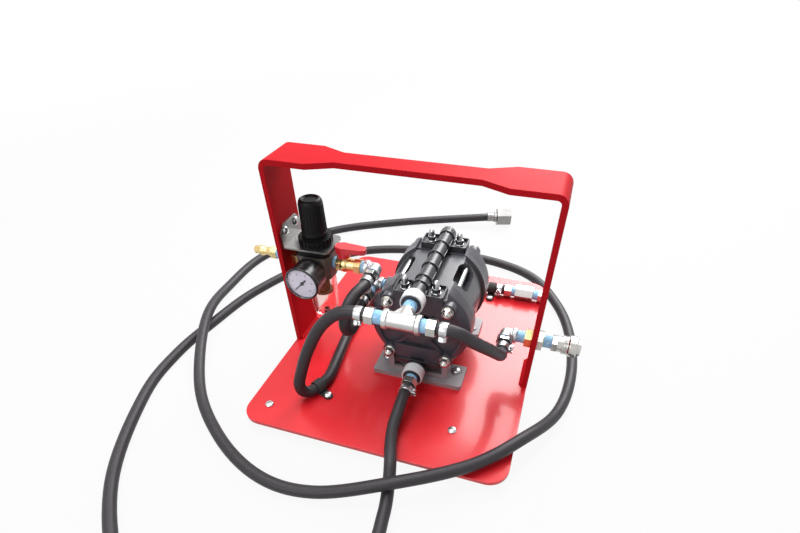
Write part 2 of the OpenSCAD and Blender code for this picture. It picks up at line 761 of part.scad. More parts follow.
// Manifold, built as the upper one: ribbed tube, two trays and the front port
module manifold(ribbed) {
  tray = 3.2;
  rib = 1.5;
  ring_lead = 12;
  ring_step = 24;
  rings = [0, ring_lead, ring_lead + ring_step, ring_lead + 2 * ring_step, ring_lead + 3 * ring_step];
  difference() {
    union() {
      translate([0, 0, port_rise]) {
        ybar(tube_r, -port_back - 2, tube_back);
        ybar(port_r, -port_front, -port_back);
        upper_half() ybar(tube_r + rib, tube_back - 2 * rib, tube_back);
        if (ribbed) {
          for (y = rings) {
            upper_half() translate([0, y - valve_y, 0]) ybar(tube_r + rib, -rib, rib);
          }
          for (a = [-90, 0, 90]) {
            rotate([0, a, 0]) translate([-rib / 2, -port_back, 0])
              cube([rib, port_back + tube_back - 1, tube_r + rib / 2]);
          }
        }
      }
      both_ends() translate([0, -valve_y, flange_z]) {
        linear_extrude(flange_t) rounded(2 * flange_half, 2 * flange_len, 3);
        linear_extrude(flange_t + tray) difference() {
          rounded(2 * flange_half, 2 * flange_len, 3);
          rounded(2 * flange_half - 3, 2 * flange_len - 3, 2);
        }
      }
    }
    translate([0, 0, port_rise]) {
      ybar(thread_r + slip, -port_front - 1, -port_front + port_ring_l);
      ybar(tube_bore, -port_front, tube_back + 1);
      ybar(notch_r, tube_back, tube_back + 2 * plug_l);
    }
    both_ends() translate([0, -valve_y, 0]) {
      zbar(seat_bore, flange_z - 1, port_rise);
      for (x = [-1, 1]) {
        translate([x * stud_x, 0, flange_z - 1]) cylinder(r = stud_r + slip, h = flange_t + 2);
      }
    }
  }
}
module discharge_manifold() color("black") at_pump() manifold(true);
module suction_manifold() color("black") at_pump() mirror([0, 0, 1]) manifold(false);
module port_rings() color("white") at_pump() for (z = [-1, 1]) {
  translate([0, -port_front + 1, z * port_rise]) rotate([-90, 0, 0])
    ring(port_ring_r, port_r + slip, port_ring_l);
}
module manifold_plugs() color("black") at_pump() for (z = [-1, 1]) {
  translate([0, 0, z * port_rise]) {
    ybar(tube_bore - slip, tube_back - plug_l, tube_back);
    ybar(plug_r, tube_back, tube_back + plug_l);
    for (a = [0:20:340]) {
      rotate([0, a, 0]) translate([plug_r - plug_proud, tube_back + 1, -plug_proud / 2])
        cube([2 * plug_proud, plug_l - 2, plug_proud]);
    }
  }
}
module valve_seats() color("lightgray") at_pump() both_ends() {
  translate([0, -valve_y, seat_low]) ring(valve_r - slip, seat_bore, seat_t);
  translate([0, -valve_y, -flange_z]) ring(valve_r - slip, seat_bore, seat_t);
}
module check_ball(end, top) at_pump() {
  translate([0, end * valve_y, (top ? seat_low : -flange_z) + seat_t + ball_sit]) sphere(r = ball_r);
}
module front_suction_ball() color("white") check_ball(-1, false);
module rear_suction_ball() color("white") check_ball(1, false);
module front_discharge_ball() color("white") check_ball(-1, true);
module rear_discharge_ball() color("white") check_ball(1, true);

module tie_bolts() color("silver") at_pump() at_tie_bolts()
  ybar(tie_r, -boss_end - washer_t - 3, boss_end + washer_t + 3);
module dome_nut() {
  difference() {
    union() {
      cylinder(r = washer_r, h = washer_t);
      translate([0, 0, washer_t]) intersection() {
        hex(nut_af, nut_h);
        cylinder(r1 = nut_af / 2 + 1.2, r2 = nut_af / 2 - 0.2, h = nut_h);
      }
      translate([0, 0, washer_t + nut_h - 1]) intersection() {
        sphere(r = nut_af / 2 - 0.6);
        cylinder(r = nut_af, h = nut_af);
      }
    }
    translate([0, 0, -1]) cylinder(r = tie_r + slip, h = washer_t + 4.5);
  }
}
module dome_nuts() color("silver") at_pump() both_ends() at_tie_bolts()
  translate([0, -boss_end, 0]) rotate([90, 0, 0]) dome_nut();
module manifold_bolt(cap) {
  washer = 1;
  nut = 5.5;
  cap_r = m5_nut_af / 2 - 0.4;
  zbar(stud_r, -9, flange_t + washer + nut);
  translate([0, 0, flange_t]) cylinder(r = 2 * stud_r, h = washer);
  translate([0, 0, flange_t + washer]) hex(m5_nut_af, nut);
  translate([0, 0, flange_t + washer + nut]) rotate_extrude() polygon([[0, 0], [cap_r, 0],
    [cap_r - 0.3, cap - 3.2], [cap_r - 1.1, cap - 1.4], [cap_r - 2.4, cap - 0.3], [0, cap]]);
}
module manifold_bolts() color("silver") at_pump() both_ends() for (x = [-1, 1], z = [0, 1]) {
  mirror([0, 0, z]) translate([x * stud_x, -valve_y, flange_z]) manifold_bolt(stud_cap[z]);
}

// Filter regulator
module regulator_body() color("gray") at_frl() difference() {
  union() {
    translate([0, 0, body_low]) linear_extrude(body_top - body_low) rounded(frl_w, frl_w, frl_corner);
    zbar(frl_half - 0.5, socket_low, body_low);
    xbar(port_boss_r, -frl_half, frl_half);
    translate([0, 0, gauge_z]) ybar(8, -frl_half, 0);
  }
  zbar(bowl_r + slip, socket_low - 1, body_low);
  xbar(thread_r + slip, -frl_half - 1, -frl_half + port_depth);
  xbar(thread_r + slip, frl_half - port_depth, frl_half + 1);
  translate([0, 0, gauge_z]) ybar(gauge_stem_r + slip, -frl_half - 1, -frl_half + port_depth);
}
module regulator_bonnet() color("black") at_frl() difference() {
  union() {
    translate([0, 0, body_top]) linear_extrude(bonnet_top - body_top) rounded(frl_w, frl_w, frl_corner);
    zbar(neck_r, bonnet_top, neck_top);
    zbar(spindle_r, neck_top, spindle_top);
  }
  zbar(screw_r + run, bonnet_top + 3, spindle_top + 1);
}
module panel_ring() color("black") at_frl() translate([0, 0, bonnet_top + bracket_t]) {
  difference() {
    union() {
      cylinder(r = ring_r - 1, h = ring_h);
      cylinder(r = ring_r, h = 3);
      for (a = [0:15:345]) {
        rotate([0, 0, a]) translate([ring_r - 1.5, -1, 0]) cube([1.5, 2, ring_h]);
      }
    }
    translate([0, 0, -1]) cylinder(r = neck_r + slip, h = ring_h + 2);
  }
}
module adjusting_screw() color("silver") at_frl() {
  zbar(screw_r, bonnet_top + 4, spindle_top + 0.5);
  zbar(screw_head_r, spindle_top + 0.5, knob_low + knob_h - 8);
}
module regulator_knob() color("black") at_frl() translate([0, 0, knob_low]) {
  rib = 0.8;
  proud = rib - 0.25;
  inside = spindle_top - knob_low + 1;
  difference() {
    union() {
      rotate_extrude() polygon([[0, 0], [knob_r, 0], [knob_r, 4], [knob_r - rib, 4.5],
        [knob_top_r - rib, knob_h - 3], [knob_top_r - 2, knob_h - 1],
        [knob_top_r - 4, knob_h], [knob_top_r - 6, knob_h - 2], [0, knob_h - 2]]);
      for (a = [0:15:345]) {
        rotate([0, 0, a]) translate([0, 0, 3])
          rotate([90, 0, 0]) translate([0, 0, -0.7]) linear_extrude(1.4)
            polygon([[knob_top_r - 3, 0], [knob_r - rib + proud, 0],
              [knob_top_r - rib + proud, knob_h - 8], [knob_top_r - 3, knob_h - 7]]);
      }
    }
    translate([0, 0, -1]) cylinder(r = spindle_r + gap, h = inside + 1);
    cylinder(r = screw_head_r + run, h = knob_h - 7);
  }
}
module at_bracket_screws() {
  for (y = [-12, 12]) {
    translate([-side_x, y, air_z + bonnet_top + bracket_t + 16]) children();
  }
}
// Bent plate: a shelf under the panel ring and a flange on the upright
module mount_bracket() color("silver") {
  shelf = frl_half + 3;
  rise = 26;
  z0 = air_z + bonnet_top;
  difference() {
    union() {
      translate([-inner_x, frl_y - frl_half - 1, z0]) cube([frl_off + shelf - 6, frl_w + 2, bracket_t]);
      translate([frl_x + shelf - 6, frl_y - frl_half + 5, z0]) cube([6, frl_w - 10, bracket_t]);
      for (y = [-1, 1]) {
        translate([frl_x + shelf - 6, frl_y + y * (frl_half - 5), z0]) cylinder(r = 6, h = bracket_t);
      }
      translate([-inner_x, frl_y, z0]) rotate([90, 0, 90]) linear_extrude(bracket_t)
        polygon([[-frl_half - 1, 0], [frl_half + 1, 0], [frl_half + 1, rise - 7],
          [frl_half - 6, rise], [-frl_half + 6, rise], [-frl_half - 1, rise - 7]]);
    }
    at_frl() zbar(neck_r + slip, bonnet_top - 1, bonnet_top + 9);
    translate([0, frl_y, 0]) at_bracket_screws() {
      xbar(m5_r + hole, 0, bar_t + 2 * bracket_t);
      translate([bar_t, -3, -m5_r - hole]) cube([2 * bracket_t, 6, 2 * (m5_r + hole)]);
      for (y = [-3, 3]) translate([bar_t, y, 0]) xbar(m5_r + hole, 0, 2 * bracket_t);
    }
  }
}
module bracket_screws() color("silver") translate([0, handle_y, 0]) at_bracket_screws() {
  xbar(m5_r, 0, bar_t + bracket_t);
  translate([bar_t + bracket_t, 0, 0]) rotate([0, 90, 0]) button_head(0);
}
module at_gauge() {
  translate([frl_x, frl_y - frl_half, air_z + gauge_z]) rotate([90, 0, 0]) children();
}
module gauge_case() color("black") at_gauge() {
  difference() {
    union() {
      translate([0, 0, gauge_gap]) rotate_extrude() polygon([[0, 0], [gauge_r - 3, 0],
        [gauge_r - 1, 1], [gauge_r - 1, gauge_d - 6], [gauge_r, gauge_d - 5],
        [gauge_r, gauge_d - 1], [gauge_r - 1, gauge_d], [0, gauge_d]]);
      translate([0, 0, -8]) cylinder(r = gauge_stem_r, h = gauge_gap + 8 + eps);
    }
    translate([0, 0, gauge_gap + gauge_d - dial_back]) cylinder(r = gauge_r - 2, h = dial_back + 1);
  }
}
module gauge_dial() color("white") at_gauge() difference() {
  translate([0, 0, gauge_gap + gauge_d - dial_back]) cylinder(r = gauge_r - 2 - slip, h = 1);
  cylinder(r = 1 + run, h = 99);
}
module gauge_needle() color("black") at_gauge() translate([0, 0, gauge_gap + gauge_d - dial_back + 1]) {
  reach = gauge_r - 6;
  zbar(1, -0.9, 0.4);
  zbar(2, 0.4, 1.2);
  rotate([0, 0, needle_at]) translate([0, 0, 0.5]) linear_extrude(0.5)
    polygon([[-7, -0.9], [0, -0.7], [reach, -0.25], [reach, 0.25], [0, 0.7], [-7, 0.9]]);
}
module gauge_lens() color("aliceblue", 0.3) at_gauge()
  translate([0, 0, gauge_gap + gauge_d - 1.2]) cylinder(r = gauge_r - 2 - slip, h = 1);

module filter_bowl() color("lightcyan", 0.4) at_frl() {
  low = body_low - bowl_h;
  difference() {
    rotate_extrude() polygon([[0, low + 1], [6, low], [bowl_r - 6, low], [bowl_r - 2.5, low + 4],
      [bowl_r - 1, low + 12], [bowl_r, low + 40], [bowl_r, body_low], [0, body_low]]);
    rotate_extrude() polygon([[0, low + 4], [bowl_r - 7, low + 4], [bowl_r - 5, low + 6],
      [bowl_r - 1 - bowl_wall, low + 13], [bowl_r - bowl_wall, low + 40],
      [bowl_r - bowl_wall, body_low + 1], [0, body_low + 1]]);
    zbar(drain_r - 1 + run, low - 1, low + 5);
  }
}
module filter_element() color("peru") at_frl() {
  rotate_extrude() polygon([[0, body_low], [element_r, body_low],
    [element_r, body_low - element_h + 3], [element_r + 3, body_low - element_h + 3],
    [element_r + 3, body_low - element_h], [4, body_low - element_h],
    [3, body_low - element_h - 4], [0, body_low - element_h - 4]]);
}
module bowl_drain() color("black") at_frl() translate([0, 0, body_low - bowl_h]) {
  zbar(drain_r - 1, -0.5, 5);
  zbar(drain_r, -6, -0.3);
  translate([-1, -drain_r - 2.5, -6]) cube([2, 2 * drain_r + 5, 4]);
}

// Air inlet, ball valve and elbows
module bulkhead(inside) {
  difference() {
    union() {
      translate([-hex_t, 0, 0]) rotate([0, 90, 0]) hex(bulk_af, hex_t);
      xbar(barrel_r, 0, bar_t + barrel_out);
      xbar(thread_r, -hex_t - inside, -hex_t);
    }
    xbar(thread_r + slip, bar_t + 1, bar_t + barrel_out + 1);
    xbar(bulk_bore, -hex_t - inside - 1, bar_t + 2);
  }
}
module bulkheads() color("goldenrod") {
  translate([-inner_x, frl_y, air_z]) mirror([1, 0, 0]) bulkhead(frl_off - frl_half - hex_t + 8);
  translate([inner_x, handle_y, out_z]) bulkhead(out_elbow_off - leg - hex_t + bite);
}
module bulkhead_nuts() color("silver") {
  translate([-side_x - bulk_nut_h, frl_y, air_z]) bulkhead_nut();
  translate([side_x, handle_y, out_z]) bulkhead_nut();
}
module bulkhead_nut() {
  rotate([0, 90, 0]) difference() {
    hex(bulk_nut_af, bulk_nut_h);
    translate([0, 0, -1]) cylinder(r = barrel_r + slip, h = bulk_nut_h + 2);
  }
}
module air_plug() color("goldenrod") translate([-side_x, frl_y, air_z]) rotate([0, -90, 0]) {
  nose = plug_len;
  difference() {
    union() {
      zbar(thread_r, 3, plug_step);
      translate([0, 0, plug_step]) hex(14, 7);
      translate([0, 0, plug_step + 7]) rotate_extrude() polygon([[0, 0], [5.5, 0], [5.5, 4],
        [4.6, 5.5], [4.6, 10], [5.9, 12], [5.9, 16], [4.8, 18], [4.8, 22.5],
        [4, nose - plug_step - 7], [0, nose - plug_step - 7]]);
    }
    zbar(2.6, 2, nose + 1);
  }
}
module valve_body() color("gold") translate([valve_x, frl_y, air_z]) difference() {
  face = frl_x + frl_half - valve_x;
  union() {
    xbar(thread_r, face - 8, -9);
    translate([face + 4, 0, 0]) rotate([0, 90, 0]) hex(fitting_af, 5);
    xbar(valve_barrel_r, -9, 14);
    sphere(r = valve_ball_r);
    translate([13, 0, 0]) rotate([0, 90, 0]) hex(fitting_af, valve_half - 13);
    zbar(valve_neck_r, 0, lever_low - 2);
  }
  sphere(r = ball_v_r + run);
  zbar(stem_r + run, 0, lever_low + 1);
  xbar(valve_bore, face - 9, valve_half + 1);
  xbar(thread_r + slip, valve_half - 7, valve_half + 1);
}
module valve_ball() color("silver") translate([valve_x, frl_y, air_z]) difference() {
  sphere(r = ball_v_r);
  xbar(valve_bore, -2 * ball_v_r, 2 * ball_v_r);
  zbar(stem_r + 2, ball_v_r - 1, ball_v_r + 2);
}
module valve_stem() color("silver") translate([valve_x, frl_y, air_z]) {
  zbar(stem_r, ball_v_r - 1, lever_low + 1);
  translate([0, 0, lever_low + 1]) hex(stem_af, stem_hex_h);
}
// Dipped lever, driven by the hexagon of the stem in a blind pocket
module valve_lever() color("red") translate([valve_x, frl_y, air_z + lever_low]) difference() {
  under = 2.5;
  skirt = 5;
  hub_r = valve_neck_r + gap + 1.8;
  union() {
    zbar(hub_r, -skirt, lever_t);
    linear_extrude(lever_t) polygon([[-7, -6], [-9, -3.5], [-9, 3.5], [-7, 6], [4, 7],
      [lever_len - 4, 5.5], [lever_len, 3.5], [lever_len, -3.5], [lever_len - 4, -5.5], [4, -7]]);
  }
  translate([hub_r + 2, -lever_len, -1]) cube([lever_len, 2 * lever_len, under + 1]);
  zbar(valve_neck_r + gap, -skirt - 1, -1);
  zbar(stem_r + slip, -2, 1);
  translate([0, 0, 1 - eps]) hex(stem_af + 2 * slip, stem_hex_h + slip);
}
// Elbow with its legs along +X or -X and -Y
module elbow(side) {
  difference() {
    union() {
      sphere(r = elbow_r);
      for (turn = [[0, side * 90, 0], [90, 0, 0]]) {
        rotate(turn) cylinder(r = elbow_r, h = leg);
        rotate(turn) zbar(band_r, leg - band_l, leg);
      }
    }
    for (turn = [[0, side * 90, 0], [90, 0, 0]]) {
      rotate(turn) zbar(thread_r + slip, leg - bite - slip, leg + 1);
      rotate(turn) zbar(4, 0, leg);
    }
  }
}
// Short sealed nipple that joins an elbow to its neighbour
module nipple(start, l) {
  translate(start) difference() {
    xbar(thread_r, 0, l);
    xbar(4, -1, l + 1);
  }
}
module elbows() color("silver") {
  translate(elbow1) elbow(-1);
  nipple([valve_x + valve_half - bite, frl_y, air_z], seal_l + 2 * bite);
  translate(elbow2) elbow(1);
  nipple([elbow2[0] + leg - bite, inlet[1], inlet[2]], seal_l + 2 * bite);
  translate(out_elbow) elbow(1);
}

// Outlet tee: run along X, branch with a male thread into the upper port,
// and a cast flare that widens the branch where it meets the run
module outlet_tee() color("silver") translate(tee) {
  reach = tee_off - port_front;
  run_r = elbow_r + 1;
  branch_r = elbow_r + 0.7;
  run_bore = 4.5;
  branch_bore = 4;
  flare_r = tee_half - band_l - 0.6;
  flare_l = tee_branch - 2;
  flare_z = run_r - 0.8;
  difference() {
    union() {
      xbar(run_r, -tee_half, tee_half);
      xbar(band_r + 1, -tee_half, -tee_half + band_l);
      xbar(band_r + 1, tee_half - band_l, tee_half);
      ybar(branch_r, 0, tee_branch);
      ybar(thread_r, 0, reach + 10);
      intersection() {
        rotate([-90, 0, 0]) cylinder(r1 = flare_r, r2 = branch_r - 0.4, h = flare_l);
        translate([-tee_half, -1, -flare_z]) cube([2 * tee_half, flare_l + 2, 2 * flare_z]);
      }
    }
    xbar(thread_r + slip, -tee_half - 1, -tee_half + tee_thread);
    xbar(thread_r + slip, tee_half - tee_thread, tee_half + 1);
    xbar(run_bore, -tee_half, tee_half);
    ybar(branch_bore, 0, reach + 11);
  }
}

// Fittings on the hose ends
module at_barb(i) {
  translate(BARBS[i][0]) rotate(BARBS[i][1]) children();
}
module hose_barb(band, hex_l) {
  face = band + hex_l;
  difference() {
    union() {
      zbar(thread_r, -bite, band);
      translate([0, 0, band]) hex(fitting_af, hex_l);
      zbar(barb_r - 0.6, face, face + barb_tail);
      for (i = [0:2]) {
        translate([0, 0, face + 4 + 6 * i]) cylinder(r1 = barb_r, r2 = barb_r - 0.6, h = 4);
      }
    }
    zbar(2.8, -8, face + barb_tail + 1);
  }
}
module hose_barbs() color("silver") for (i = [0:len(BARBS) - 1]) {
  at_barb(i) hose_barb(BARBS[i][2], BARBS[i][3]);
}
module seal_bands() color("lightskyblue") {
  for (i = [0:len(BARBS) - 1]) {
    at_barb(i) ring(thread_r + 0.5, thread_r + 0.01, BARBS[i][2]);
  }
  for (b = BANDS) {
    translate(b[0]) rotate(b[1]) ring(thread_r + 0.5, thread_r + 0.01, b[2]);
  }
}
// Screw clamp: a band with two ears drawn together by a screw
module hose_clamp() {
  ear = 5;
  ring(hose_r + clamp_t + snug, hose_r + snug, clamp_w);
  translate([hose_r + 0.6, -3.5, 0.5]) cube([ear, 7, clamp_w - 1]);
  translate([hose_r + ear - 1.4, 3.5, clamp_w / 2]) rotate([-90, 0, 0]) cylinder(r = 2.4, h = 2.5);
}
module hose_clamps() color("silver") for (i = [0:len(BARBS) - 1]) {
  screw_side = [-35, 215, 0, -90, -90, 0, -90];
  at_barb(i) translate([0, 0, barb_end(i) + clamp_off]) rotate([0, 0, screw_side[i]]) hose_clamp();
}

// Quick coupler on the outlet
module coupler_body() color("silver") translate([side_x, handle_y, out_z]) rotate([0, 90, 0]) {
  difference() {
    union() {
      zbar(thread_r, 3, plug_step);
      translate([0, 0, plug_step]) hex(17, 6);
      zbar(coupler_r, plug_step + 6, plug_len);
    }
    zbar(coupler_bore, plug_step + 8, plug_len + 1);
    zbar(4, 2, plug_step + 9);
  }
}
module coupler_sleeve() color("silver") translate([side_x, handle_y, out_z]) rotate([0, 90, 0]) {
  start = plug_step + 6 + sleeve_pull + gap;
  translate([0, 0, start]) difference() {
    rotate_extrude() polygon([[0, 0], [sleeve_r - 1.5, 0], [sleeve_r - 1.5, 6], [sleeve_r - 0.5, 7],
      [sleeve_r, 8], [sleeve_r, sleeve_len - 1], [sleeve_r - 1, sleeve_len], [0, sleeve_len]]);
    zbar(coupler_r + run, -1, sleeve_len + 1);
    for (z = [1.5, 3, 4.5]) translate([0, 0, z]) ring(sleeve_r, sleeve_r - 2, 0.8);
  }
}

// Coupling and end fitting of the return line
module return_coupling() color("silver") translate(back) {
  tail = coupling_len + end_band;
  difference() {
    rotate([0, 90, 0]) rotate([0, 0, 30]) hex(coupling_af, coupling_len);
    xbar(thread_r + slip, -1, 8);
    xbar(thread_r + slip, coupling_len - 8, coupling_len + 1);
    xbar(4.5, -1, coupling_len + 1);
  }
  difference() {
    union() {
      xbar(thread_r, coupling_len - 7, tail);
      translate([tail, 0, 0]) rotate([0, 90, 0]) hex(fitting_af, end_hex);
    }
    xbar(4.5, coupling_len - 8, tail + 2);
    xbar(end_bore, tail + 1, tail + end_hex + 1);
  }
}

// Hoses
module air_hose() color("black") sweep(AIR_ROUTE, 2, hose_r);
module outlet_hose() color("black") sweep(OUTLET_ROUTE, 2, hose_r);
module return_hose() color("black") sweep(RETURN_ROUTE, 2, hose_r);
module suction_hose() color("black") sweep(SUCTION_ROUTE, 2, hose_r);
// Ferrule crimped over the hose, with its hexagon and swivel nut
module hose_end() color("silver") translate(end_at) rotate([0, 0, end_turn]) rotate([0, 90, 0]) {
  neck = ferrule_out + ferrule_hex;
  nut = neck + swivel_neck;
  difference() {
    union() {
      zbar(hose_r + ferrule_wall, -ferrule_grip, ferrule_out);
      translate([0, 0, ferrule_out]) hex(ferrule_af, ferrule_hex);
      zbar(swivel_r, neck, nut);
      translate([0, 0, nut]) hex(swivel_af, swivel_l);
    }
    zbar(ferrule_bore, ferrule_out - 2, nut + swivel_l);
    zbar(swivel_bore, nut + swivel_step, nut + swivel_l + 1);
    for (z = [-ferrule_grip / 2, 0, ferrule_grip / 2]) {
      translate([0, 0, z]) ring(hose_r + 2 * ferrule_wall, hose_r + ferrule_wall / 2, 1);
    }
  }
}

base_plate();
carry_handle();
rubber_feet();
base_bolts();
hose_clips();
pump_feet();
centre_block();
front_chamber();
rear_chamber();
diaphragms();
diaphragm_shaft();
diaphragm_plates();
air_spool();
discharge_manifold();
suction_manifold();
port_rings();
manifold_plugs();
valve_seats();
front_suction_ball();
rear_suction_ball();
front_discharge_ball();
rear_discharge_ball();
tie_bolts();
dome_nuts();
manifold_bolts();
regulator_body();
regulator_bonnet();
panel_ring();
adjusting_screw();
regulator_knob();
mount_bracket();
bracket_screws();
gauge_case();
gauge_dial();
gauge_needle();
gauge_lens();
filter_bowl();
filter_element();
bowl_drain();
bulkheads();
bulkhead_nuts();
air_plug();
valve_body();
valve_ball();
valve_stem();
valve_lever();
outlet_tee();
elbows();
hose_barbs();
seal_bands();
hose_clamps();
coupler_body();
coupler_sleeve();
return_coupling();
air_hose();
outlet_hose();
return_hose();
suction_hose();
hose_end();
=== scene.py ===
# %% [markdown]
# # A portable air-operated pump set
# A small double-diaphragm pump stands on a red carry plate with a bent-bar
# handle. Compressed air comes in on the left through a filter regulator and a
# ball valve, and liquid leaves on the right through a quick coupler. The
# construction is loaded as a fixed frame. This lesson gives every piece its
# finish, draws the hoses, and models the small metal parts that catch the eye.

# %% Load the construction
import math

import bmesh
import bpy
from mathutils import Matrix, Vector, noise


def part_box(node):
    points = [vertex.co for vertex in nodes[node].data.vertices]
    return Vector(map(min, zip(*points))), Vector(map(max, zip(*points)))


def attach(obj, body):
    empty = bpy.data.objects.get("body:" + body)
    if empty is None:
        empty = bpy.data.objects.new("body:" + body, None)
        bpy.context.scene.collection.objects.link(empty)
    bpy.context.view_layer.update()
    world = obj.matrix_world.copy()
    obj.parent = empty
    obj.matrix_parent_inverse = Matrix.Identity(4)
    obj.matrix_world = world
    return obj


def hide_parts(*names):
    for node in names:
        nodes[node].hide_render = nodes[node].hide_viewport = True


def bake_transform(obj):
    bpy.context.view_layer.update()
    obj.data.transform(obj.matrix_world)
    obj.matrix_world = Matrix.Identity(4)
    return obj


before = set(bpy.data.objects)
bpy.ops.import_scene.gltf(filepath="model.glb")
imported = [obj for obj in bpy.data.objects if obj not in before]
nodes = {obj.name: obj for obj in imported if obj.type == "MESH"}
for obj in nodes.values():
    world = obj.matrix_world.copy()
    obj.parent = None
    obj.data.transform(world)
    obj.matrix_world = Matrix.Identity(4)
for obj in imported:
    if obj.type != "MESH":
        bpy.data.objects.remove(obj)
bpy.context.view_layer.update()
MM = 0.001

# %% [markdown]
# The camera stands in front of the pump, to its right, and looks down at it
# with a wide lens, from not much more than an arm's length. Its place, angles
# and focal length were solved from the corners of the plate and the handle.
# The picture is a crop of a taller one, so the optical axis meets it below its
# middle. That is what the shift is for.

# %% Camera
PHOTO_W = 800
PHOTO_H = 533
SENSOR = 36.0
FOCAL_PX = 474.8
AXIS_PX = (405, 370)
EYE = Vector((0.1404, -0.4459, 0.4219))
AZIMUTH = math.radians(-19.08)
DIP = math.radians(44.43)
ROLL = math.radians(-1.23)
NEAREST = 0.01


def put_in_scene(name, data):
    thing = bpy.data.objects.new(name, data)
    bpy.context.scene.collection.objects.link(thing)
    return thing


def make_camera():
    ahead = Vector((math.sin(AZIMUTH), math.cos(AZIMUTH), 0))
    level = Vector((math.cos(AZIMUTH), -math.sin(AZIMUTH), 0))
    forward = ahead * math.cos(DIP) - Vector((0, 0, math.sin(DIP)))
    upward = level.cross(forward)
    right = level * math.cos(ROLL) + upward * math.sin(ROLL)
    top = upward * math.cos(ROLL) - level * math.sin(ROLL)
    data = bpy.data.cameras.new("camera")
    data.sensor_width = SENSOR
    data.lens = FOCAL_PX / PHOTO_W * SENSOR
    data.shift_x = (PHOTO_W / 2 - AXIS_PX[0]) / PHOTO_W
    data.shift_y = (AXIS_PX[1] - PHOTO_H / 2) / PHOTO_W
    data.clip_start = NEAREST
    camera = put_in_scene("camera", data)
    turn = Matrix((right, top, -forward)).transposed().to_4x4()
    camera.matrix_world = Matrix.Translation(EYE) @ turn
    bpy.context.scene.camera = camera
    return camera


camera = make_camera()
print("lens", round(camera.data.lens, 2), "mm")

# %% [markdown]
# Finishes share a few effects. Each is a node group that is built once: a
# fine grain for moulded, sprayed and plated surfaces, with larger clouds that
# break up an even colour, and soft smudges for handled places. A group only
# puts out values that vary over the surface, and each material feeds them to
# its own shader. The textures lie in the object's own space, so they need no
# map and stay with a piece when it moves.

# %% Shared effects
def new_group(name, inputs, outputs):
    """A shader group with number inputs, each with its usual value, and number outputs."""
    group = bpy.data.node_groups.new(name, "ShaderNodeTree")
    for label, value in inputs.items():
        socket = group.interface.new_socket(label, in_out="INPUT", socket_type="NodeSocketFloat")
        socket.default_value = value
    for label in outputs:
        group.interface.new_socket(label, in_out="OUTPUT", socket_type="NodeSocketFloat")
    return group, group.nodes.new("NodeGroupInput"), group.nodes.new("NodeGroupOutput")


def noise_in(group, scale, detail):
    """A noise texture in the object's own space, sized by a socket."""
    place = group.nodes.new("ShaderNodeTexCoord")
    texture = group.nodes.new("ShaderNodeTexNoise")
    texture.inputs["Detail"].default_value = detail
    group.links.new(place.outputs["Object"], texture.inputs["Vector"])
    group.links.new(scale, texture.inputs["Scale"])
    return texture


def grain_group():
    """Fine lumps, and larger clouds."""
    group, source, sink = new_group("grain", {"Scale": 900.0, "Cloud": 40.0}, ["Height", "Cloud"])
    lumps = noise_in(group, source.outputs["Scale"], 3.0)
    clouds = noise_in(group, source.outputs["Cloud"], 4.0)
    group.links.new(lumps.outputs["Fac"], sink.inputs["Height"])
    group.links.new(clouds.outputs["Fac"], sink.inputs["Cloud"])
    return group


def smudge_group():
    """Soft patches where a surface has been handled or has gathered dust."""
    group, source, sink = new_group("smudge", {"Scale": 30.0, "Low": 0.45, "High": 0.75}, ["Mask"])
    patches = noise_in(group, source.outputs["Scale"], 6.0)
    patches.inputs["Roughness"].default_value = 0.65
    ramp = group.nodes.new("ShaderNodeMapRange")
    ramp.interpolation_type = "SMOOTHSTEP"
    group.links.new(patches.outputs["Fac"], ramp.inputs["Value"])
    group.links.new(source.outputs["Low"], ramp.inputs["From Min"])
    group.links.new(source.outputs["High"], ramp.inputs["From Max"])
    group.links.new(ramp.outputs["Result"], sink.inputs["Mask"])
    return group


GRAIN = grain_group()
SMUDGE = smudge_group()
print("effects", GRAIN.name, SMUDGE.name)

# %% [markdown]
# The hoses are wrapped in cloth while their rubber cures, and the cloth leaves
# its weave in the skin. Two sets of threads that cross are two sine waves on
# the hose's own map, which runs along and round it in metres. The higher of
# the two is the one on top.

# %% Cloth weave
HOSE_MAP = "hose_map"


def math_node(tree, operation, *values):
    """One step of arithmetic on sockets and plain numbers."""
    node = tree.nodes.new("ShaderNodeMath")
    node.operation = operation
    for socket, value in zip(node.inputs, values):
        if isinstance(value, (int, float)):
            socket.default_value = value
        else:
            tree.links.new(value, socket)
    return node.outputs[0]


def weave_group():
    """Two crossing sets of fine threads, at a rate in radians a metre."""
    group, source, sink = new_group("weave", {"Rate": 1.0}, ["Height"])
    chart = group.nodes.new("ShaderNodeUVMap")
    chart.uv_map = HOSE_MAP
    split = group.nodes.new("ShaderNodeSeparateXYZ")
    group.links.new(chart.outputs["UV"], split.inputs["Vector"])
    threads = []
    for lean in (1, -1):
        across = math_node(group, "MULTIPLY_ADD", split.outputs["Y"], lean, split.outputs["X"])
        turns = math_node(group, "MULTIPLY", across, source.outputs["Rate"])
        threads.append(math_node(group, "SINE", turns))
    group.links.new(math_node(group, "MAXIMUM", *threads), sink.inputs["Height"])
    return group


WEAVE = weave_group()
print("effect", WEAVE.name)

# %% [markdown]
# One function lays out a finish: two close colours mixed by the clouds, a
# roughness that wanders between two values, and a small bump. What is the same
# all over, such as the coat or the metal, is set on the shader itself. Real
# surfaces are never one flat colour, and two colours that lie close together
# give that without a pattern that the eye can find.

# %% One finish
COAT_ROUGH = 0.12


def place_group(tree, group, **values):
    node = tree.nodes.new("ShaderNodeGroup")
    node.node_tree = group
    for label, value in values.items():
        node.inputs[label].default_value = value
    return node


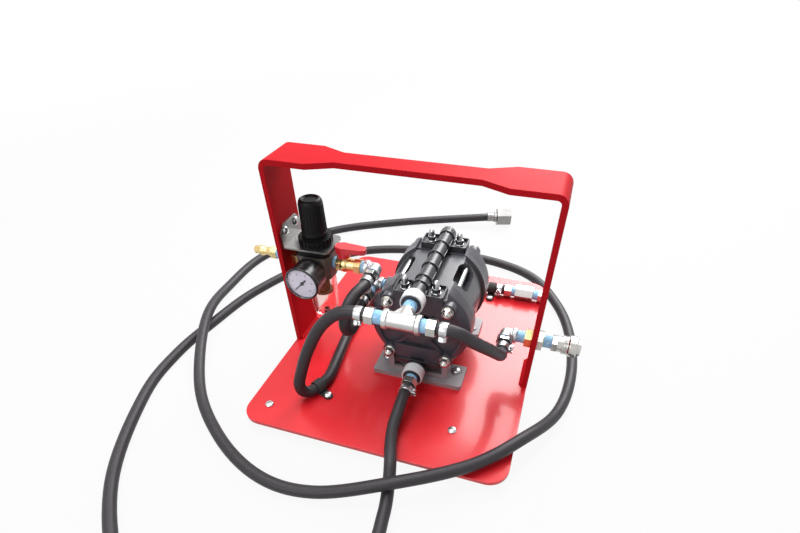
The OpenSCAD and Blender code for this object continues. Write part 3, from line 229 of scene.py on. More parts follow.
def mix_colours(tree, mask, low, high):
    """Blend two colours by a mask. The first may come out of another blend."""
    mix = tree.nodes.new("ShaderNodeMix")
    mix.data_type = "RGBA"
    if isinstance(low, tuple):
        mix.inputs["A"].default_value = (*low, 1)
    else:
        tree.links.new(low, mix.inputs["A"])
    mix.inputs["B"].default_value = (*high, 1)
    tree.links.new(mask, mix.inputs["Factor"])
    return mix.outputs["Result"]


def spread(tree, mask, low, high):
    """Bring a mask into a range."""
    node = tree.nodes.new("ShaderNodeMapRange")
    node.inputs["To Min"].default_value = low
    node.inputs["To Max"].default_value = high
    tree.links.new(mask, node.inputs["Value"])
    return node.outputs["Result"]


def finish_of(name, low, high, rough, metal=0.0, grain=900.0, cloud=40.0, bump=0.1, depth=0.1,
              coat=0.0, shine=0.5, smudge=None, weave=None):
    """A finish from a low colour to a high one, with a roughness range.

    Grain and cloud are scales. Depth, the bump's height, and weave, the threads' pitch, are in
    millimetres. Smudge is a scale, a colour and a share.
    """
    material = bpy.data.materials.new(name)
    material.use_nodes = True
    tree = material.node_tree
    shader = tree.nodes["Principled BSDF"]
    shader.inputs["Metallic"].default_value = metal
    shader.inputs["Coat Weight"].default_value = coat
    shader.inputs["Coat Roughness"].default_value = COAT_ROUGH
    shader.inputs["Specular IOR Level"].default_value = shine
    lumps = place_group(tree, GRAIN, Scale=grain, Cloud=cloud)
    wander = lumps.outputs["Cloud"]
    height = lumps.outputs["Height"]
    if weave:
        height = place_group(tree, WEAVE, Rate=2 * math.pi / (weave * MM)).outputs["Height"]
    colour = mix_colours(tree, wander, low, high)
    if smudge:
        size, film, share = smudge
        dust = place_group(tree, SMUDGE, Scale=size)
        colour = mix_colours(tree, spread(tree, dust.outputs["Mask"], 0, share), colour, film)
    tree.links.new(colour, shader.inputs["Base Color"])
    tree.links.new(spread(tree, wander, *rough), shader.inputs["Roughness"])
    relief = tree.nodes.new("ShaderNodeBump")
    relief.inputs["Strength"].default_value = bump
    relief.inputs["Distance"].default_value = depth * MM
    tree.links.new(height, relief.inputs["Height"])
    tree.links.new(relief.outputs["Normal"], shader.inputs["Normal"])
    return material


print("coat roughness", COAT_ROUGH)

# %% [markdown]
# The plate is powder coated: a thick paint with a fine grain and a shine of
# its own, so it gets a thin clear coat. The bar of the handle is a duller satin
# without a coat, and its darker red is painted shade for its upright faces. The
# lever of the ball valve is dipped in vinyl, which is smooth and lighter.

# %% Reds
RED = finish_of(
    "red_powder_coat", (0.72, 0.012, 0.020), (0.80, 0.016, 0.026), (0.30, 0.40), grain=1400, cloud=18,
    coat=0.35, shine=0.35, smudge=(14, (0.66, 0.014, 0.024), 0.35))
# The bar's red is darker than the plate's as painted shade; its satin roughness is its own.
BAR_RED = finish_of(
    "red_satin_coat", (0.49, 0.0072, 0.0135), (0.55, 0.0097, 0.0175), (0.42, 0.54), grain=1400,
    cloud=18, bump=0.12, shine=0.05, smudge=(14, (0.44, 0.0078, 0.0145), 0.35))
LEVER = finish_of(
    "dipped_vinyl", (0.82, 0.028, 0.045), (0.88, 0.038, 0.055), (0.25, 0.36), cloud=50, bump=0.06,
    coat=0.3)
print("reds", RED.name, BAR_RED.name, LEVER.name)

# %% [markdown]
# The pump's housing, its feet, the knob and the gauge's case are moulded in
# plastic. A mould leaves a fine grain, and fingers leave a paler film on dark
# pieces. Each piece has its own shade, from pale grey feet to a knob that is
# nearly black. The gauge's case is a little glossier than the rest.

# %% Mouldings
BLACK = finish_of(
    "black_moulding", (0.024, 0.023, 0.029), (0.040, 0.039, 0.047), (0.28, 0.42), grain=2200, cloud=60,
    bump=0.18, depth=0.08, smudge=(45, (0.07, 0.07, 0.08), 0.25))
CHARCOAL = finish_of(
    "charcoal_moulding", (0.045, 0.042, 0.056), (0.067, 0.064, 0.082), (0.30, 0.44), grain=2200,
    cloud=60, bump=0.18, depth=0.08, smudge=(45, (0.11, 0.108, 0.128), 0.25))
GREY = finish_of(
    "grey_moulding", (0.075, 0.078, 0.090), (0.105, 0.110, 0.124), (0.26, 0.40), grain=2200, cloud=50,
    bump=0.18, depth=0.08, smudge=(40, (0.15, 0.15, 0.165), 0.25))
FOOT = finish_of(
    "foot_moulding", (0.27, 0.25, 0.268), (0.35, 0.325, 0.345), (0.34, 0.5), grain=2000, bump=0.2)
KNOB = finish_of(
    "knob_moulding", (0.003, 0.003, 0.004), (0.006, 0.006, 0.007), (0.36, 0.5), grain=2600, cloud=60,
    bump=0.12, depth=0.05, shine=0.18)
GLOSS = finish_of(
    "gloss_black", (0.008, 0.008, 0.009), (0.012, 0.012, 0.014), (0.22, 0.34), grain=1500, bump=0.03,
    depth=0.05, coat=0.15, shine=0.4)
WHITE = finish_of(
    "white_moulding", (0.82, 0.83, 0.84), (0.88, 0.89, 0.90), (0.35, 0.5), grain=1800, cloud=80,
    bump=0.08, depth=0.05, smudge=(90, (0.55, 0.58, 0.62), 0.3))
print("mouldings", [each.name for each in (BLACK, CHARCOAL, GREY, FOOT, KNOB, GLOSS, WHITE)])

# %% [markdown]
# Rubber is dull. The feet and clips are plain black, the diaphragms brown. The
# hoses shine a little more than the feet, and the weave in their skin breaks
# that shine up.

# %% Rubbers
RUBBER = finish_of(
    "foot_rubber", (0.018, 0.018, 0.018), (0.03, 0.03, 0.03), (0.6, 0.8), grain=1500, bump=0.3)
DIAPHRAGM = finish_of(
    "diaphragm_rubber", (0.18, 0.10, 0.045), (0.24, 0.14, 0.07), (0.5, 0.7), grain=1500, bump=0.2)
# The hoses' faint red-purple tint is painted reflection of the red plate.
HOSE = finish_of(
    "wrapped_rubber", (0.019, 0.016, 0.0195), (0.031, 0.0265, 0.032), (0.38, 0.54), cloud=35,
    bump=0.25, depth=0.08, shine=0.4, weave=1.1)
print("rubbers", RUBBER.name, DIAPHRAGM.name, HOSE.name)

# %% [markdown]
# A metal has no colour but that of its reflection, so a metal finish is a
# reflection colour and a roughness. Cast steel has coarser lumps than plated
# zinc or nickel, and brass is yellow. The regulator's casting has gone dull and
# the filter element is sintered, so both are only partly metal. The elbows
# carry a blue smear of sealant.

# %% Metals
STEEL = finish_of(
    "cast_stainless", (0.48, 0.478, 0.47), (0.60, 0.597, 0.585), (0.24, 0.38), metal=1.0, grain=1600,
    cloud=90, bump=0.25, depth=0.12)
ZINC = finish_of(
    "bright_zinc", (0.48, 0.49, 0.50), (0.60, 0.61, 0.62), (0.2, 0.34), metal=1.0, grain=2500,
    cloud=120, bump=0.08, depth=0.05)
NICKEL = finish_of(
    "nickel_plate", (0.44, 0.43, 0.41), (0.56, 0.55, 0.52), (0.16, 0.30), metal=1.0, grain=2200,
    cloud=100, bump=0.06, depth=0.05)
SMEARED = finish_of(
    "smeared_nickel", (0.44, 0.45, 0.46), (0.56, 0.57, 0.58), (0.20, 0.42), metal=0.85, grain=2200,
    cloud=100, depth=0.06, smudge=(130, (0.50, 0.70, 0.88), 0.6))
CHROME = finish_of(
    "bright_plate", (0.24, 0.236, 0.232), (0.32, 0.315, 0.31), (0.24, 0.38), metal=1.0, grain=1800,
    cloud=70, bump=0.05, depth=0.05)
BRASS = finish_of(
    "turned_brass", (0.72, 0.53, 0.23), (0.84, 0.65, 0.32), (0.22, 0.36), metal=1.0, grain=1500,
    cloud=90, bump=0.08, depth=0.05)
CAST = finish_of(
    "die_casting", (0.13, 0.11, 0.095), (0.19, 0.165, 0.145), (0.34, 0.5), metal=0.55, grain=1300,
    cloud=70, bump=0.2)
BRONZE = finish_of(
    "sintered_bronze", (0.20, 0.10, 0.05), (0.32, 0.17, 0.09), (0.5, 0.7), metal=0.3, grain=1800,
    cloud=200, bump=0.5, depth=0.2)
print("metals", [each.name for each in (STEEL, ZINC, NICKEL, SMEARED, CHROME, BRASS, CAST, BRONZE)])

# %% [markdown]
# The dial is painted a cool white and printed in black. The sealant on the
# threads is a blue paste that has dried in lumps, paler where it is thin, so
# its clouds are small and a near white film lies over part of it.

# %% Dial and sealant
DIAL = finish_of(
    "dial_paint", (0.66, 0.61, 0.70), (0.74, 0.70, 0.78), (0.4, 0.5), grain=1500, cloud=30, bump=0.02)
INK = finish_of(
    "dial_ink", (0.02, 0.02, 0.025), (0.035, 0.035, 0.04), (0.4, 0.5), grain=1500, bump=0.02)
SEALANT = finish_of(
    "dried_sealant", (0.20, 0.51, 0.88), (0.43, 0.75, 0.97), (0.45, 0.65), grain=1400, cloud=260,
    bump=0.3, depth=0.15, smudge=(220, (0.74, 0.88, 0.95), 0.6))
print("dial and sealant", DIAL.name, INK.name, SEALANT.name)

# %% [markdown]
# Clear plastic is a dielectric: it bends light and keeps a faint tint. The
# gauge lens is thin and nearly colourless, the filter bowl is thicker and a
# little milky, as polycarbonate gets, and its pink tint is painted reflection of the red plate.

# %% Clear plastic
VEIL = 60


def clear_of(name, colour, rough, index):
    material = bpy.data.materials.new(name)
    material.use_nodes = True
    tree = material.node_tree
    shader = tree.nodes["Principled BSDF"]
    shader.inputs["Base Color"].default_value = (*colour, 1)
    shader.inputs["Transmission Weight"].default_value = 1.0
    shader.inputs["IOR"].default_value = index
    lumps = place_group(tree, GRAIN, Cloud=VEIL)
    tree.links.new(spread(tree, lumps.outputs["Cloud"], *rough), shader.inputs["Roughness"])
    return material


LENS = clear_of("clear_lens", (0.97, 0.98, 1.0), (0.0, 0.03), 1.2)
# The bowl's pink is painted reflection of the red plate seen through it.
BOWL = clear_of("clear_bowl", (0.93, 0.81, 0.79), (0.08, 0.22), 1.25)
print("clear", LENS.name, BOWL.name)

# %% [markdown]
# The construction's own solids keep their shape, and are made of flat facets.
# What is round on the real piece has to look round, and an edge has to look
# like an edge. Geometry nodes shade all faces smooth and keep those edges sharp
# whose faces meet at more than a set angle. One tree then serves every piece.

# %% Shading by angle
SHARP = math.radians(38)


def geometry_group(name, *numbers):
    """Geometry nodes with nothing but their two ends yet, and with named number inputs."""
    tree = bpy.data.node_groups.new(name, "GeometryNodeTree")
    for way in ("INPUT", "OUTPUT"):
        tree.interface.new_socket("Geometry", in_out=way, socket_type="NodeSocketGeometry")
    for label in numbers:
        tree.interface.new_socket(label, in_out="INPUT", socket_type="NodeSocketFloat")
    return tree, tree.nodes.new("NodeGroupInput"), tree.nodes.new("NodeGroupOutput")


def edges_by_angle(tree, test):
    """A mask of the edges whose faces meet at more, or at less, than the sharp angle."""
    angle = tree.nodes.new("GeometryNodeInputMeshEdgeAngle")
    mask = tree.nodes.new("FunctionNodeCompare")
    mask.operation = test
    mask.inputs[1].default_value = SHARP
    tree.links.new(angle.outputs["Unsigned Angle"], mask.inputs[0])
    return mask.outputs[0]


def smooth_by_angle():
    """Shade faces smooth, and keep edges over the sharp angle sharp."""
    tree, source, sink = geometry_group("smooth_by_angle")
    faces = tree.nodes.new("GeometryNodeSetShadeSmooth")
    edges = tree.nodes.new("GeometryNodeSetShadeSmooth")
    edges.domain = "EDGE"
    tree.links.new(source.outputs["Geometry"], faces.inputs["Geometry"])
    tree.links.new(faces.outputs["Geometry"], edges.inputs["Geometry"])
    tree.links.new(edges_by_angle(tree, "LESS_THAN"), edges.inputs["Shade Smooth"])
    tree.links.new(edges.outputs["Geometry"], sink.inputs["Geometry"])
    return tree


SMOOTH = smooth_by_angle()
print("sharp over", round(math.degrees(SHARP)), "degrees")

# %% [markdown]
# Machined and moulded edges are never knife sharp, so most solids get a small
# bevel. With its overlap clamp on, Blender's bevel shrinks to suit the shortest
# edge of the whole piece, and one sliver then leaves every edge sharp. So a
# second tree marks the edges that are to be rounded, the sharp ones over a
# given length, and the bevel follows those marks with the clamp off.

# %% Edges to round
def pick_edges():
    """Mark the sharp edges over a length, and give the name of the length's socket."""
    tree, source, sink = geometry_group("pick_edges", "Shortest")
    ends = tree.nodes.new("GeometryNodeInputMeshEdgeVertices")
    reach = tree.nodes.new("ShaderNodeVectorMath")
    reach.operation = "DISTANCE"
    tree.links.new(ends.outputs["Position 1"], reach.inputs[0])
    tree.links.new(ends.outputs["Position 2"], reach.inputs[1])
    far = tree.nodes.new("FunctionNodeCompare")
    far.operation = "GREATER_THAN"
    tree.links.new(reach.outputs["Value"], far.inputs[0])
    tree.links.new(source.outputs["Shortest"], far.inputs[1])
    both = tree.nodes.new("FunctionNodeBooleanMath")
    both.operation = "AND"
    tree.links.new(edges_by_angle(tree, "GREATER_THAN"), both.inputs[0])
    tree.links.new(far.outputs[0], both.inputs[1])
    mark = tree.nodes.new("GeometryNodeStoreNamedAttribute")
    mark.domain = "EDGE"
    mark.inputs["Name"].default_value = "bevel_weight_edge"
    tree.links.new(source.outputs["Geometry"], mark.inputs["Geometry"])
    tree.links.new(both.outputs[0], mark.inputs["Value"])
    tree.links.new(mark.outputs["Geometry"], sink.inputs["Geometry"])
    return tree, source.outputs["Shortest"].identifier


PICK, SHORTEST = pick_edges()
print("marks by", PICK.name)

# %% [markdown]
# A solid is dressed in one order. Its triangles are welded and merged into flat
# faces, because a bevel needs whole faces. The picked edges are then rounded,
# and the shading is smoothed by angle and weighted by area, so that flat faces
# stay flat. All of this is in modifiers, and the solid itself isn't touched.

# %% Dress a solid
WELD = 0.005
FLAT = math.radians(1.5)
BEVEL_STEPS = 2


def paint(node, material):
    """Give a solid of the construction its finish."""
    piece = nodes[node]
    piece.data.materials.clear()
    piece.data.materials.append(material)
    return piece


def dress(node, material, slot, edge, shortest=0.0):
    """Paint a solid and round its edges over a length, with sizes in millimetres."""
    piece = paint(node, material)
    weld = piece.modifiers.new("weld", "WELD")
    weld.merge_threshold = WELD * MM
    flat = piece.modifiers.new("flat", "DECIMATE")
    flat.decimate_type = "DISSOLVE"
    flat.angle_limit = FLAT
    if edge:
        pick = piece.modifiers.new("pick", "NODES")
        pick.node_group = PICK
        pick[SHORTEST] = shortest * MM
        bevel = piece.modifiers.new("bevel", "BEVEL")
        bevel.width = edge * MM
        bevel.segments = BEVEL_STEPS
        bevel.limit_method = "WEIGHT"
        bevel.use_clamp_overlap = False
    shade = piece.modifiers.new("shade", "NODES")
    shade.node_group = SMOOTH
    weigh = piece.modifiers.new("weigh", "WEIGHTED_NORMAL")
    weigh.keep_sharp = True
    return piece


print("weld", WELD, "mm, bevel steps", BEVEL_STEPS)

# %% [markdown]
# Each solid has its finish, its colour slot and the width of its bevel. A
# fourth value is the length below which an edge stays sharp. Pieces that are
# closed in, clear or too fine for it have no bevel.

# %% Finishes of the solids
FINISHES = {
    "base_plate": (RED, "red_paint", 0.6, 0.5), "carry_handle": (BAR_RED, "red_paint", 0.6, 0.5),
    "rubber_feet": (RUBBER, "foot_rubber", 0.5), "base_bolts": (ZINC, "zinc_steel", 0.25, 1),
    "hose_clips": (RUBBER, "clip_rubber", 0.25), "pump_feet": (FOOT, "foot_plastic", 0.4, 8),
    "centre_block": (GREY, "grey_plastic", 0.25), "front_chamber": (CHARCOAL, "black_plastic", 0.3, 8),
    "rear_chamber": (CHARCOAL, "black_plastic", 0.3, 8), "diaphragm_shaft": (STEEL, "stainless", 0),
    "diaphragm_plates": (STEEL, "plate_alloy", 0), "air_spool": (STEEL, "plate_alloy", 0),
    "discharge_manifold": (BLACK, "black_plastic", 0.2, 8), "port_rings": (WHITE, "white_plastic", 0.5),
    "suction_manifold": (BLACK, "black_plastic", 0.2, 8), "valve_seats": (WHITE, "white_plastic", 0),
    "front_suction_ball": (WHITE, "white_plastic", 0), "rear_suction_ball": (WHITE, "white_plastic", 0),
    "front_discharge_ball": (WHITE, "white_plastic", 0), "manifold_plugs": (BLACK, "black_plastic", 0.25),
    "rear_discharge_ball": (WHITE, "white_plastic", 0), "tie_bolts": (ZINC, "stainless", 0.3),
    "dome_nuts": (NICKEL, "stainless", 0.15), "manifold_bolts": (ZINC, "stainless", 0.15),
    "regulator_body": (CAST, "die_cast", 0.25), "regulator_bonnet": (KNOB, "black_plastic", 0.5),
    "panel_ring": (KNOB, "black_plastic", 0), "adjusting_screw": (ZINC, "zinc_steel", 0),
    "regulator_knob": (KNOB, "knob_plastic", 0.15), "mount_bracket": (CHROME, "bracket_chrome", 0.15),
    "bracket_screws": (ZINC, "zinc_steel", 0.25), "gauge_case": (GLOSS, "gauge_black", 0.4),
    "gauge_dial": (DIAL, "dial_white", 0), "gauge_needle": (INK, "needle_black", 0),
    "gauge_lens": (LENS, "clear_lens", 0), "filter_bowl": (BOWL, "clear_bowl", 0),
    "filter_element": (BRONZE, "element_bronze", 0.3), "bowl_drain": (KNOB, "knob_plastic", 0.3),
    "bulkheads": (BRASS, "brass", 0.35), "bulkhead_nuts": (NICKEL, "nickel", 0.35),
    "air_plug": (BRASS, "brass", 0.2), "valve_body": (BRASS, "brass", 0.3, 1),
    "valve_ball": (CHROME, "bracket_chrome", 0), "valve_stem": (NICKEL, "nickel", 0),
    "hose_barbs": (NICKEL, "stainless", 0.25), "coupler_body": (NICKEL, "nickel", 0.15),
    "coupler_sleeve": (NICKEL, "nickel", 0.2), "return_coupling": (STEEL, "stainless", 0.4),
    "hose_end": (CHROME, "nickel", 0.2),
}
for name, look in FINISHES.items():
    dress(name, *look)
print("dressed", len(FINISHES))

# %% [markdown]
# The tee and the elbows are castings, and the lever has been dipped. Molten
# metal and vinyl leave no corner sharp, so these solids are wrapped in one skin
# of small even faces, and that skin is relaxed until every inside corner has a
# fillet. A bevel rounds outside edges well, but not the seam of run and branch.

# %% Castings and the dipped lever
RELAX = 0.5


def wrap(node, material, grain, passes):
    """Paint a solid and wrap it in a skin of a grain in millimetres, relaxed in some passes."""
    piece = paint(node, material)
    skin = piece.modifiers.new("skin", "REMESH")
    skin.mode = "VOXEL"
    skin.voxel_size = grain * MM
    skin.use_smooth_shade = True
    relax = piece.modifiers.new("relax", "SMOOTH")
    relax.factor = RELAX
    relax.iterations = passes
    return piece


wrapped = [
    wrap("outlet_tee", STEEL, grain=0.45, passes=14),
    wrap("elbows", SMEARED, grain=0.5, passes=8),
    wrap("valve_lever", LEVER, grain=0.4, passes=12),
]
print("wrapped", [piece.name for piece in wrapped])

# %% [markdown]
# A hose is a fixed length of something stiff: it leaves each fitting straight
# and turns in wide bends. Each one follows the route of its solid, on one
# smooth curve, and becomes a mesh tube. A curve object with a round bevel would
# be shorter to write, but a tube of rings has a map in metres along and round
# it, so that the weave follows the hose.

# %% Hose tubes
HOSE_R = 6.5
HOSE_ROUND = 24


def new_piece(name, bm, material, body):
    """An object of a mesh, with its finish and the body that it rides on."""
    bmesh.ops.recalc_face_normals(bm, faces=bm.faces)
    mesh = bpy.data.meshes.new(name)
    bm.to_mesh(mesh)
    bm.free()
    mesh.materials.append(material)
    piece = put_in_scene(name, mesh)
    if body:
        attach(piece, body)
    return piece


def smooth_route(points, steps):
    """A curve through given points, a few steps a span, as in the solids."""
    ends = [2 * points[0] - points[1], *points, 2 * points[-1] - points[-2]]
    line = []
    for a, b, c, d in zip(ends, ends[1:], ends[2:], ends[3:]):
        for step in range(steps):
            t = step / steps
            line.append(0.5 * (2 * b + (c - a) * t + (2 * a - 5 * b + 4 * c - d) * t * t
                               + (3 * b - a - 3 * c + d) * t ** 3))
    return line + [points[-1]]


def hose_rings(bm, line):
    """Rings along a line that carry their side vector along, and how far each has come."""
    side = Vector((0, 0, 1))
    rings = []
    reach = [0.0]
    for i, point in enumerate(line):
        ahead = (line[min(i + 1, len(line) - 1)] - line[max(i - 1, 0)]).normalized()
        side = (side - side.dot(ahead) * ahead).normalized()
        turned = ahead.cross(side)
        ring = []
        for k in range(HOSE_ROUND):
            angle = 2 * math.pi * k / HOSE_ROUND
            out = side * math.cos(angle) + turned * math.sin(angle)
            ring.append(bm.verts.new(point + HOSE_R * MM * out))
        rings.append(ring)
        if i:
            reach.append(reach[-1] + (point - line[i - 1]).length)
    return rings, reach


def hose_tube(name, line):
    """A closed tube along a line, with a map in metres, and its length."""
    bm = bmesh.new()
    chart = bm.loops.layers.uv.new(HOSE_MAP)
    rings, reach = hose_rings(bm, line)
    width = 2 * math.pi * HOSE_R * MM / HOSE_ROUND
    for i in range(len(rings) - 1):
        for k in range(HOSE_ROUND):
            after = (k + 1) % HOSE_ROUND
            face = bm.faces.new((rings[i][k], rings[i][after], rings[i + 1][after], rings[i + 1][k]))
            face.smooth = True
            spots = ((reach[i], k), (reach[i], k + 1), (reach[i + 1], k + 1), (reach[i + 1], k))
            for loop, (along, turn) in zip(face.loops, spots):
                loop[chart].uv = (along, turn * width)
    bm.faces.new(list(reversed(rings[0])))
    bm.faces.new(rings[-1])
    return new_piece(name, bm, HOSE, "frame"), reach[-1]


def in_metres(points):
    return [Vector(point) * MM for point in points]


print("hose", 2 * HOSE_R, "mm across")

# %% [markdown]
# Three hoses are held at both ends: air from the valve to the pump, the
# outlet from the tee to the right upright, and the return line that is clipped
# along the plate.

# %% Held hoses
HELD = {
    "air_hose": [
        (-42, -35, 126), (-42, -42, 126), (-42, -49, 126), (-43, -60.8, 127.8), (-45.1, -73.2, 126.5),
        (-47.3, -84.7, 120.4), (-48.2, -92.4, 109.3), (-48.4, -91.1, 96.4), (-47.6, -82.8, 89),
        (-47.4, -72.2, 89.3), (-47.9, -61.1, 96.8), (-48, -52, 100), (-48, -45, 100), (-48, -38, 100)],
    "outlet_hose": [
        (57, -112, 139), (64, -112, 139), (71, -112, 139), (80.5, -110.5, 135.5), (89.5, -105.5, 126.5),
        (98, -97.5, 116), (106.5, -87, 103.5), (113, -75, 90), (116, -62, 77.5), (115.2, -48.5, 69.6),
        (115, -41, 69), (115, -33, 69)],
    "return_hose": [
        (-14, -112, 139), (-21, -112, 139), (-28, -112, 139), (-39, -113, 137), (-53, -115, 128),
        (-67, -119, 111), (-81, -125, 82), (-90, -130, 55), (-93, -134, 40), (-91.5, -133.5, 29),
        (-87.5, -129, 23.95), (-83.5, -123.4, 22.95), (-80.5, -116, 22.95), (-77.5, -108.6, 22.95),
        (-76, -94, 21.8), (-80, -60, 21.8), (-85, -20, 21.8), (-87, 20, 21.8), (-85, 60, 21.8),
        (-73, 98, 21.8), (-48, 125, 22.8), (-16, 136, 24.6), (6, 136, 24.6), (34, 136, 24.6),
        (62, 136, 24.6), (93, 136, 24.6)],
}
HELD_STEPS = 6
for name, points in HELD.items():
    tube, length = hose_tube(name + "_skin", smooth_route(in_metres(points), HELD_STEPS))
    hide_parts(name)
    print(name, round(length, 3), "m")

# %% [markdown]
# The fourth hose is free: the suction hose leaves the lower port, drops off the
# plate and lies round it in loose rings. The photograph shows it nearly from
# end to end, so its length is the length of that route.

# %% Suction hose
SUCTION = [
    (23, -98, 37), (23, -107, 37), (23, -116, 37), (23, -132, 32.5), (23, -150, 25), (28, -172, 23),
    (34, -190, 21.5), (39, -210, 12.5), (44, -240, 6.5), (45, -285, 6.5), (20, -348, 6.5),
    (-50, -392, 6.5), (-145, -371, 6.5), (-232, -290, 6.5), (-283, -180, 6.5), (-293, -105, 6.5),
    (-285, -32, 6.5), (-268, 48, 6.5), (-225, 135, 6.5), (-155, 205, 6.5), (-60, 236, 6.5),
    (45, 238, 6.5), (123, 210, 6.5), (169, 147, 6.5), (192, 80, 6.5), (199, 5, 6.5), (188, -64, 10),
    (155, -125, 24.9), (112, -172, 24.9), (46, -214, 25.5), (-30, -239, 10), (-95, -237, 6.5),
    (-165, -203, 6.5), (-230, -143, 9.5), (-286, -42, 21), (-312, 50, 9), (-305, 150, 6.5),
    (-235, 252, 6.5), (-125, 320, 6.5), (31, 368, 16)]
SUCTION_STEPS = 10
suction_line = smooth_route(in_metres(SUCTION), SUCTION_STEPS)
suction, suction_length = hose_tube("suction_hose_skin", suction_line)
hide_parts("suction_hose")
print("suction hose", round(suction_length, 3), "m")

# %% [markdown]
# Every hose end on a barb is held by a small screw clamp: a steel band whose
# two ends stand up as ears, with a screw through them that draws the band
# tight. Each is built along the Z axis and then laid in its place. Cubes and
# cones with rounded edges will do, because all of its pieces are one or the
# other.

# %% Shape of a clamp
BAND_W = 7.5
BAND_T = 0.8
BAND_GAP = 0.25
BAND_SIDES = 56
BAND_R = HOSE_R + BAND_GAP
RIM_ANGLE = 1.2
EAR = (4.6, 1.2, BAND_W - 0.6)
EAR_LIFT = 0.1
EAR_Y = 1.9
SCREW_X = BAND_R + 2.8
SCREW_Y = 0.6
SCREW_R = 1.4
SCREW_L = 9.5
SCREW_SIDES = 16
NUT_R = 3.1
NUT_T = 1.6
NUT_SIDES = 4
HEAD_R = (2.0, 2.4)
HEAD_T = 2.0
HEAD_Y = 4.4
HEAD_SIDES = 20
SLOT = (3.6, 0.12, 0.6)
SLOT_LIFT = 0.05
FINE_EDGE = 0.2
SOFT_EDGE = 0.3


def round_edges(bm, edges, width):
    bmesh.ops.bevel(bm, geom=edges, offset=width, offset_type="OFFSET", segments=BEVEL_STEPS, profile=0.5,
                    affect="EDGES", material=-1, clamp_overlap=True)


def shaped(bm, made, move, bevel=0.0):
    """Move what an operator has just made, and round its edges."""
    bmesh.ops.transform(bm, matrix=move, verts=made["verts"])
    if bevel:
        round_edges(bm, list({edge for vert in made["verts"] for edge in vert.link_edges}), bevel)


def add_block(bm, place, size, bevel=0.0):
    made = bmesh.ops.create_cube(bm, size=1.0)
    shaped(bm, made, Matrix.Translation(place) @ Matrix.Diagonal((*size, 1)), bevel)


def add_turned(bm, y, sides, ends, length, bevel=0.0, twist=0.0):
    """A cylinder or cone on the screw's axis, which runs along Y."""
    made = bmesh.ops.create_cone(bm, cap_ends=True, segments=sides, radius1=ends[0], radius2=ends[1],
                                 depth=length)
    lay = Matrix.Rotation(math.pi / 2, 4, "X") @ Matrix.Rotation(twist, 4, "Z")
    shaped(bm, made, Matrix.Translation((SCREW_X, y, 0)) @ lay, bevel)


def clamp_at(place):
    """A band, its two ears, and a screw with a square nut and a slotted head."""
    bm = bmesh.new()
    hoop = bmesh.ops.create_cone(bm, cap_ends=False, segments=BAND_SIDES, radius1=BAND_R, radius2=BAND_R,
                                 depth=BAND_W)
    faces = list({face for vert in hoop["verts"] for face in vert.link_faces})
    bmesh.ops.solidify(bm, geom=faces, thickness=-BAND_T)
    round_edges(bm, [edge for edge in bm.edges if edge.calc_face_angle(0) > RIM_ANGLE], FINE_EDGE)
    for y in (-EAR_Y, EAR_Y):
        add_block(bm, (BAND_R + EAR[0] / 2 + EAR_LIFT, y, 0), EAR, SOFT_EDGE)
    nut_y = -EAR_Y - (EAR[1] + NUT_T) / 2
    add_turned(bm, SCREW_Y, SCREW_SIDES, (SCREW_R, SCREW_R), SCREW_L)
    add_turned(bm, nut_y, NUT_SIDES, (NUT_R, NUT_R), NUT_T, FINE_EDGE, twist=math.pi / 4)
    add_turned(bm, HEAD_Y, HEAD_SIDES, HEAD_R, HEAD_T, SOFT_EDGE)
    add_block(bm, (SCREW_X, HEAD_Y + HEAD_T / 2 + SLOT_LIFT, 0), SLOT)
    bmesh.ops.transform(bm, matrix=place, verts=bm.verts)
    return bm


print("band", 2 * BAND_R, "mm inside")

# %% [markdown]
# A clamp sits a little way in from the end of its hose, so its place follows
# from the last two points of the route there. Only the side of the ears is
# chosen, where a screwdriver reaches. All seven become one object.

# %% Screw clamps
ROUTES = {**HELD, "suction_hose": SUCTION}
CLAMP_IN = 7.25
FRONT_LOW = (0, -0.574, -0.819)
CLAMPS = [
    ("outlet_hose", 1, FRONT_LOW), ("return_hose", 1, FRONT_LOW), ("outlet_hose", -1, (1, 0, 0)),
    ("air_hose", 1, (0, 0, -1)), ("air_hose", -1, (0, 0, -1)), ("suction_hose", 1, (1, 0, 0)),
    ("return_hose", -1, (0, -1, 0))]


def placed(centre, along, side):
    """Where a piece built along Z comes to lie, with its X axis to one side."""
    z = Vector(along).normalized()
    x = Vector(side).normalized()
    turn = Matrix((x, z.cross(x), z)).transposed().to_4x4()
    return Matrix.Translation(Vector(centre) * MM) @ turn @ Matrix.Scale(MM, 4)


def clamp_place(hose, way, side):
    """On the first end of a hose, or the last end where the way is -1."""
    end, inner = [Vector(point) for point in ROUTES[hose][::way][:2]]
    along = (inner - end).normalized()
    return placed(end + CLAMP_IN * along, along, side)


def gather(name, parts, material, body):
    """One object from several small meshes."""
    whole = bmesh.new()
    for part in parts:
        mesh = bpy.data.meshes.new("part")
        part.to_mesh(mesh)
        part.free()
        whole.from_mesh(mesh)
        bpy.data.meshes.remove(mesh)
    piece = new_piece(name, whole, material, body)
    shade = piece.modifiers.new("shade", "NODES")
    shade.node_group = SMOOTH
    return piece


fitted = [clamp_at(clamp_place(*spot)) for spot in CLAMPS]
clamps = gather("screw_clamps", fitted, ZINC, "frame")
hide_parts("hose_clamps")
print("clamps", len(CLAMPS), "faces", len(clamps.data.polygons))

# %% [markdown]
# Where a thread leaves its socket it carries dried blue sealant. It fills the
# thread unevenly, so each band is a tube whose skin follows the thread's pitch
# and wanders in and out. A flat grid is rolled up into that tube, because every
# one of its points then has a turn and a height to work the radius out from.

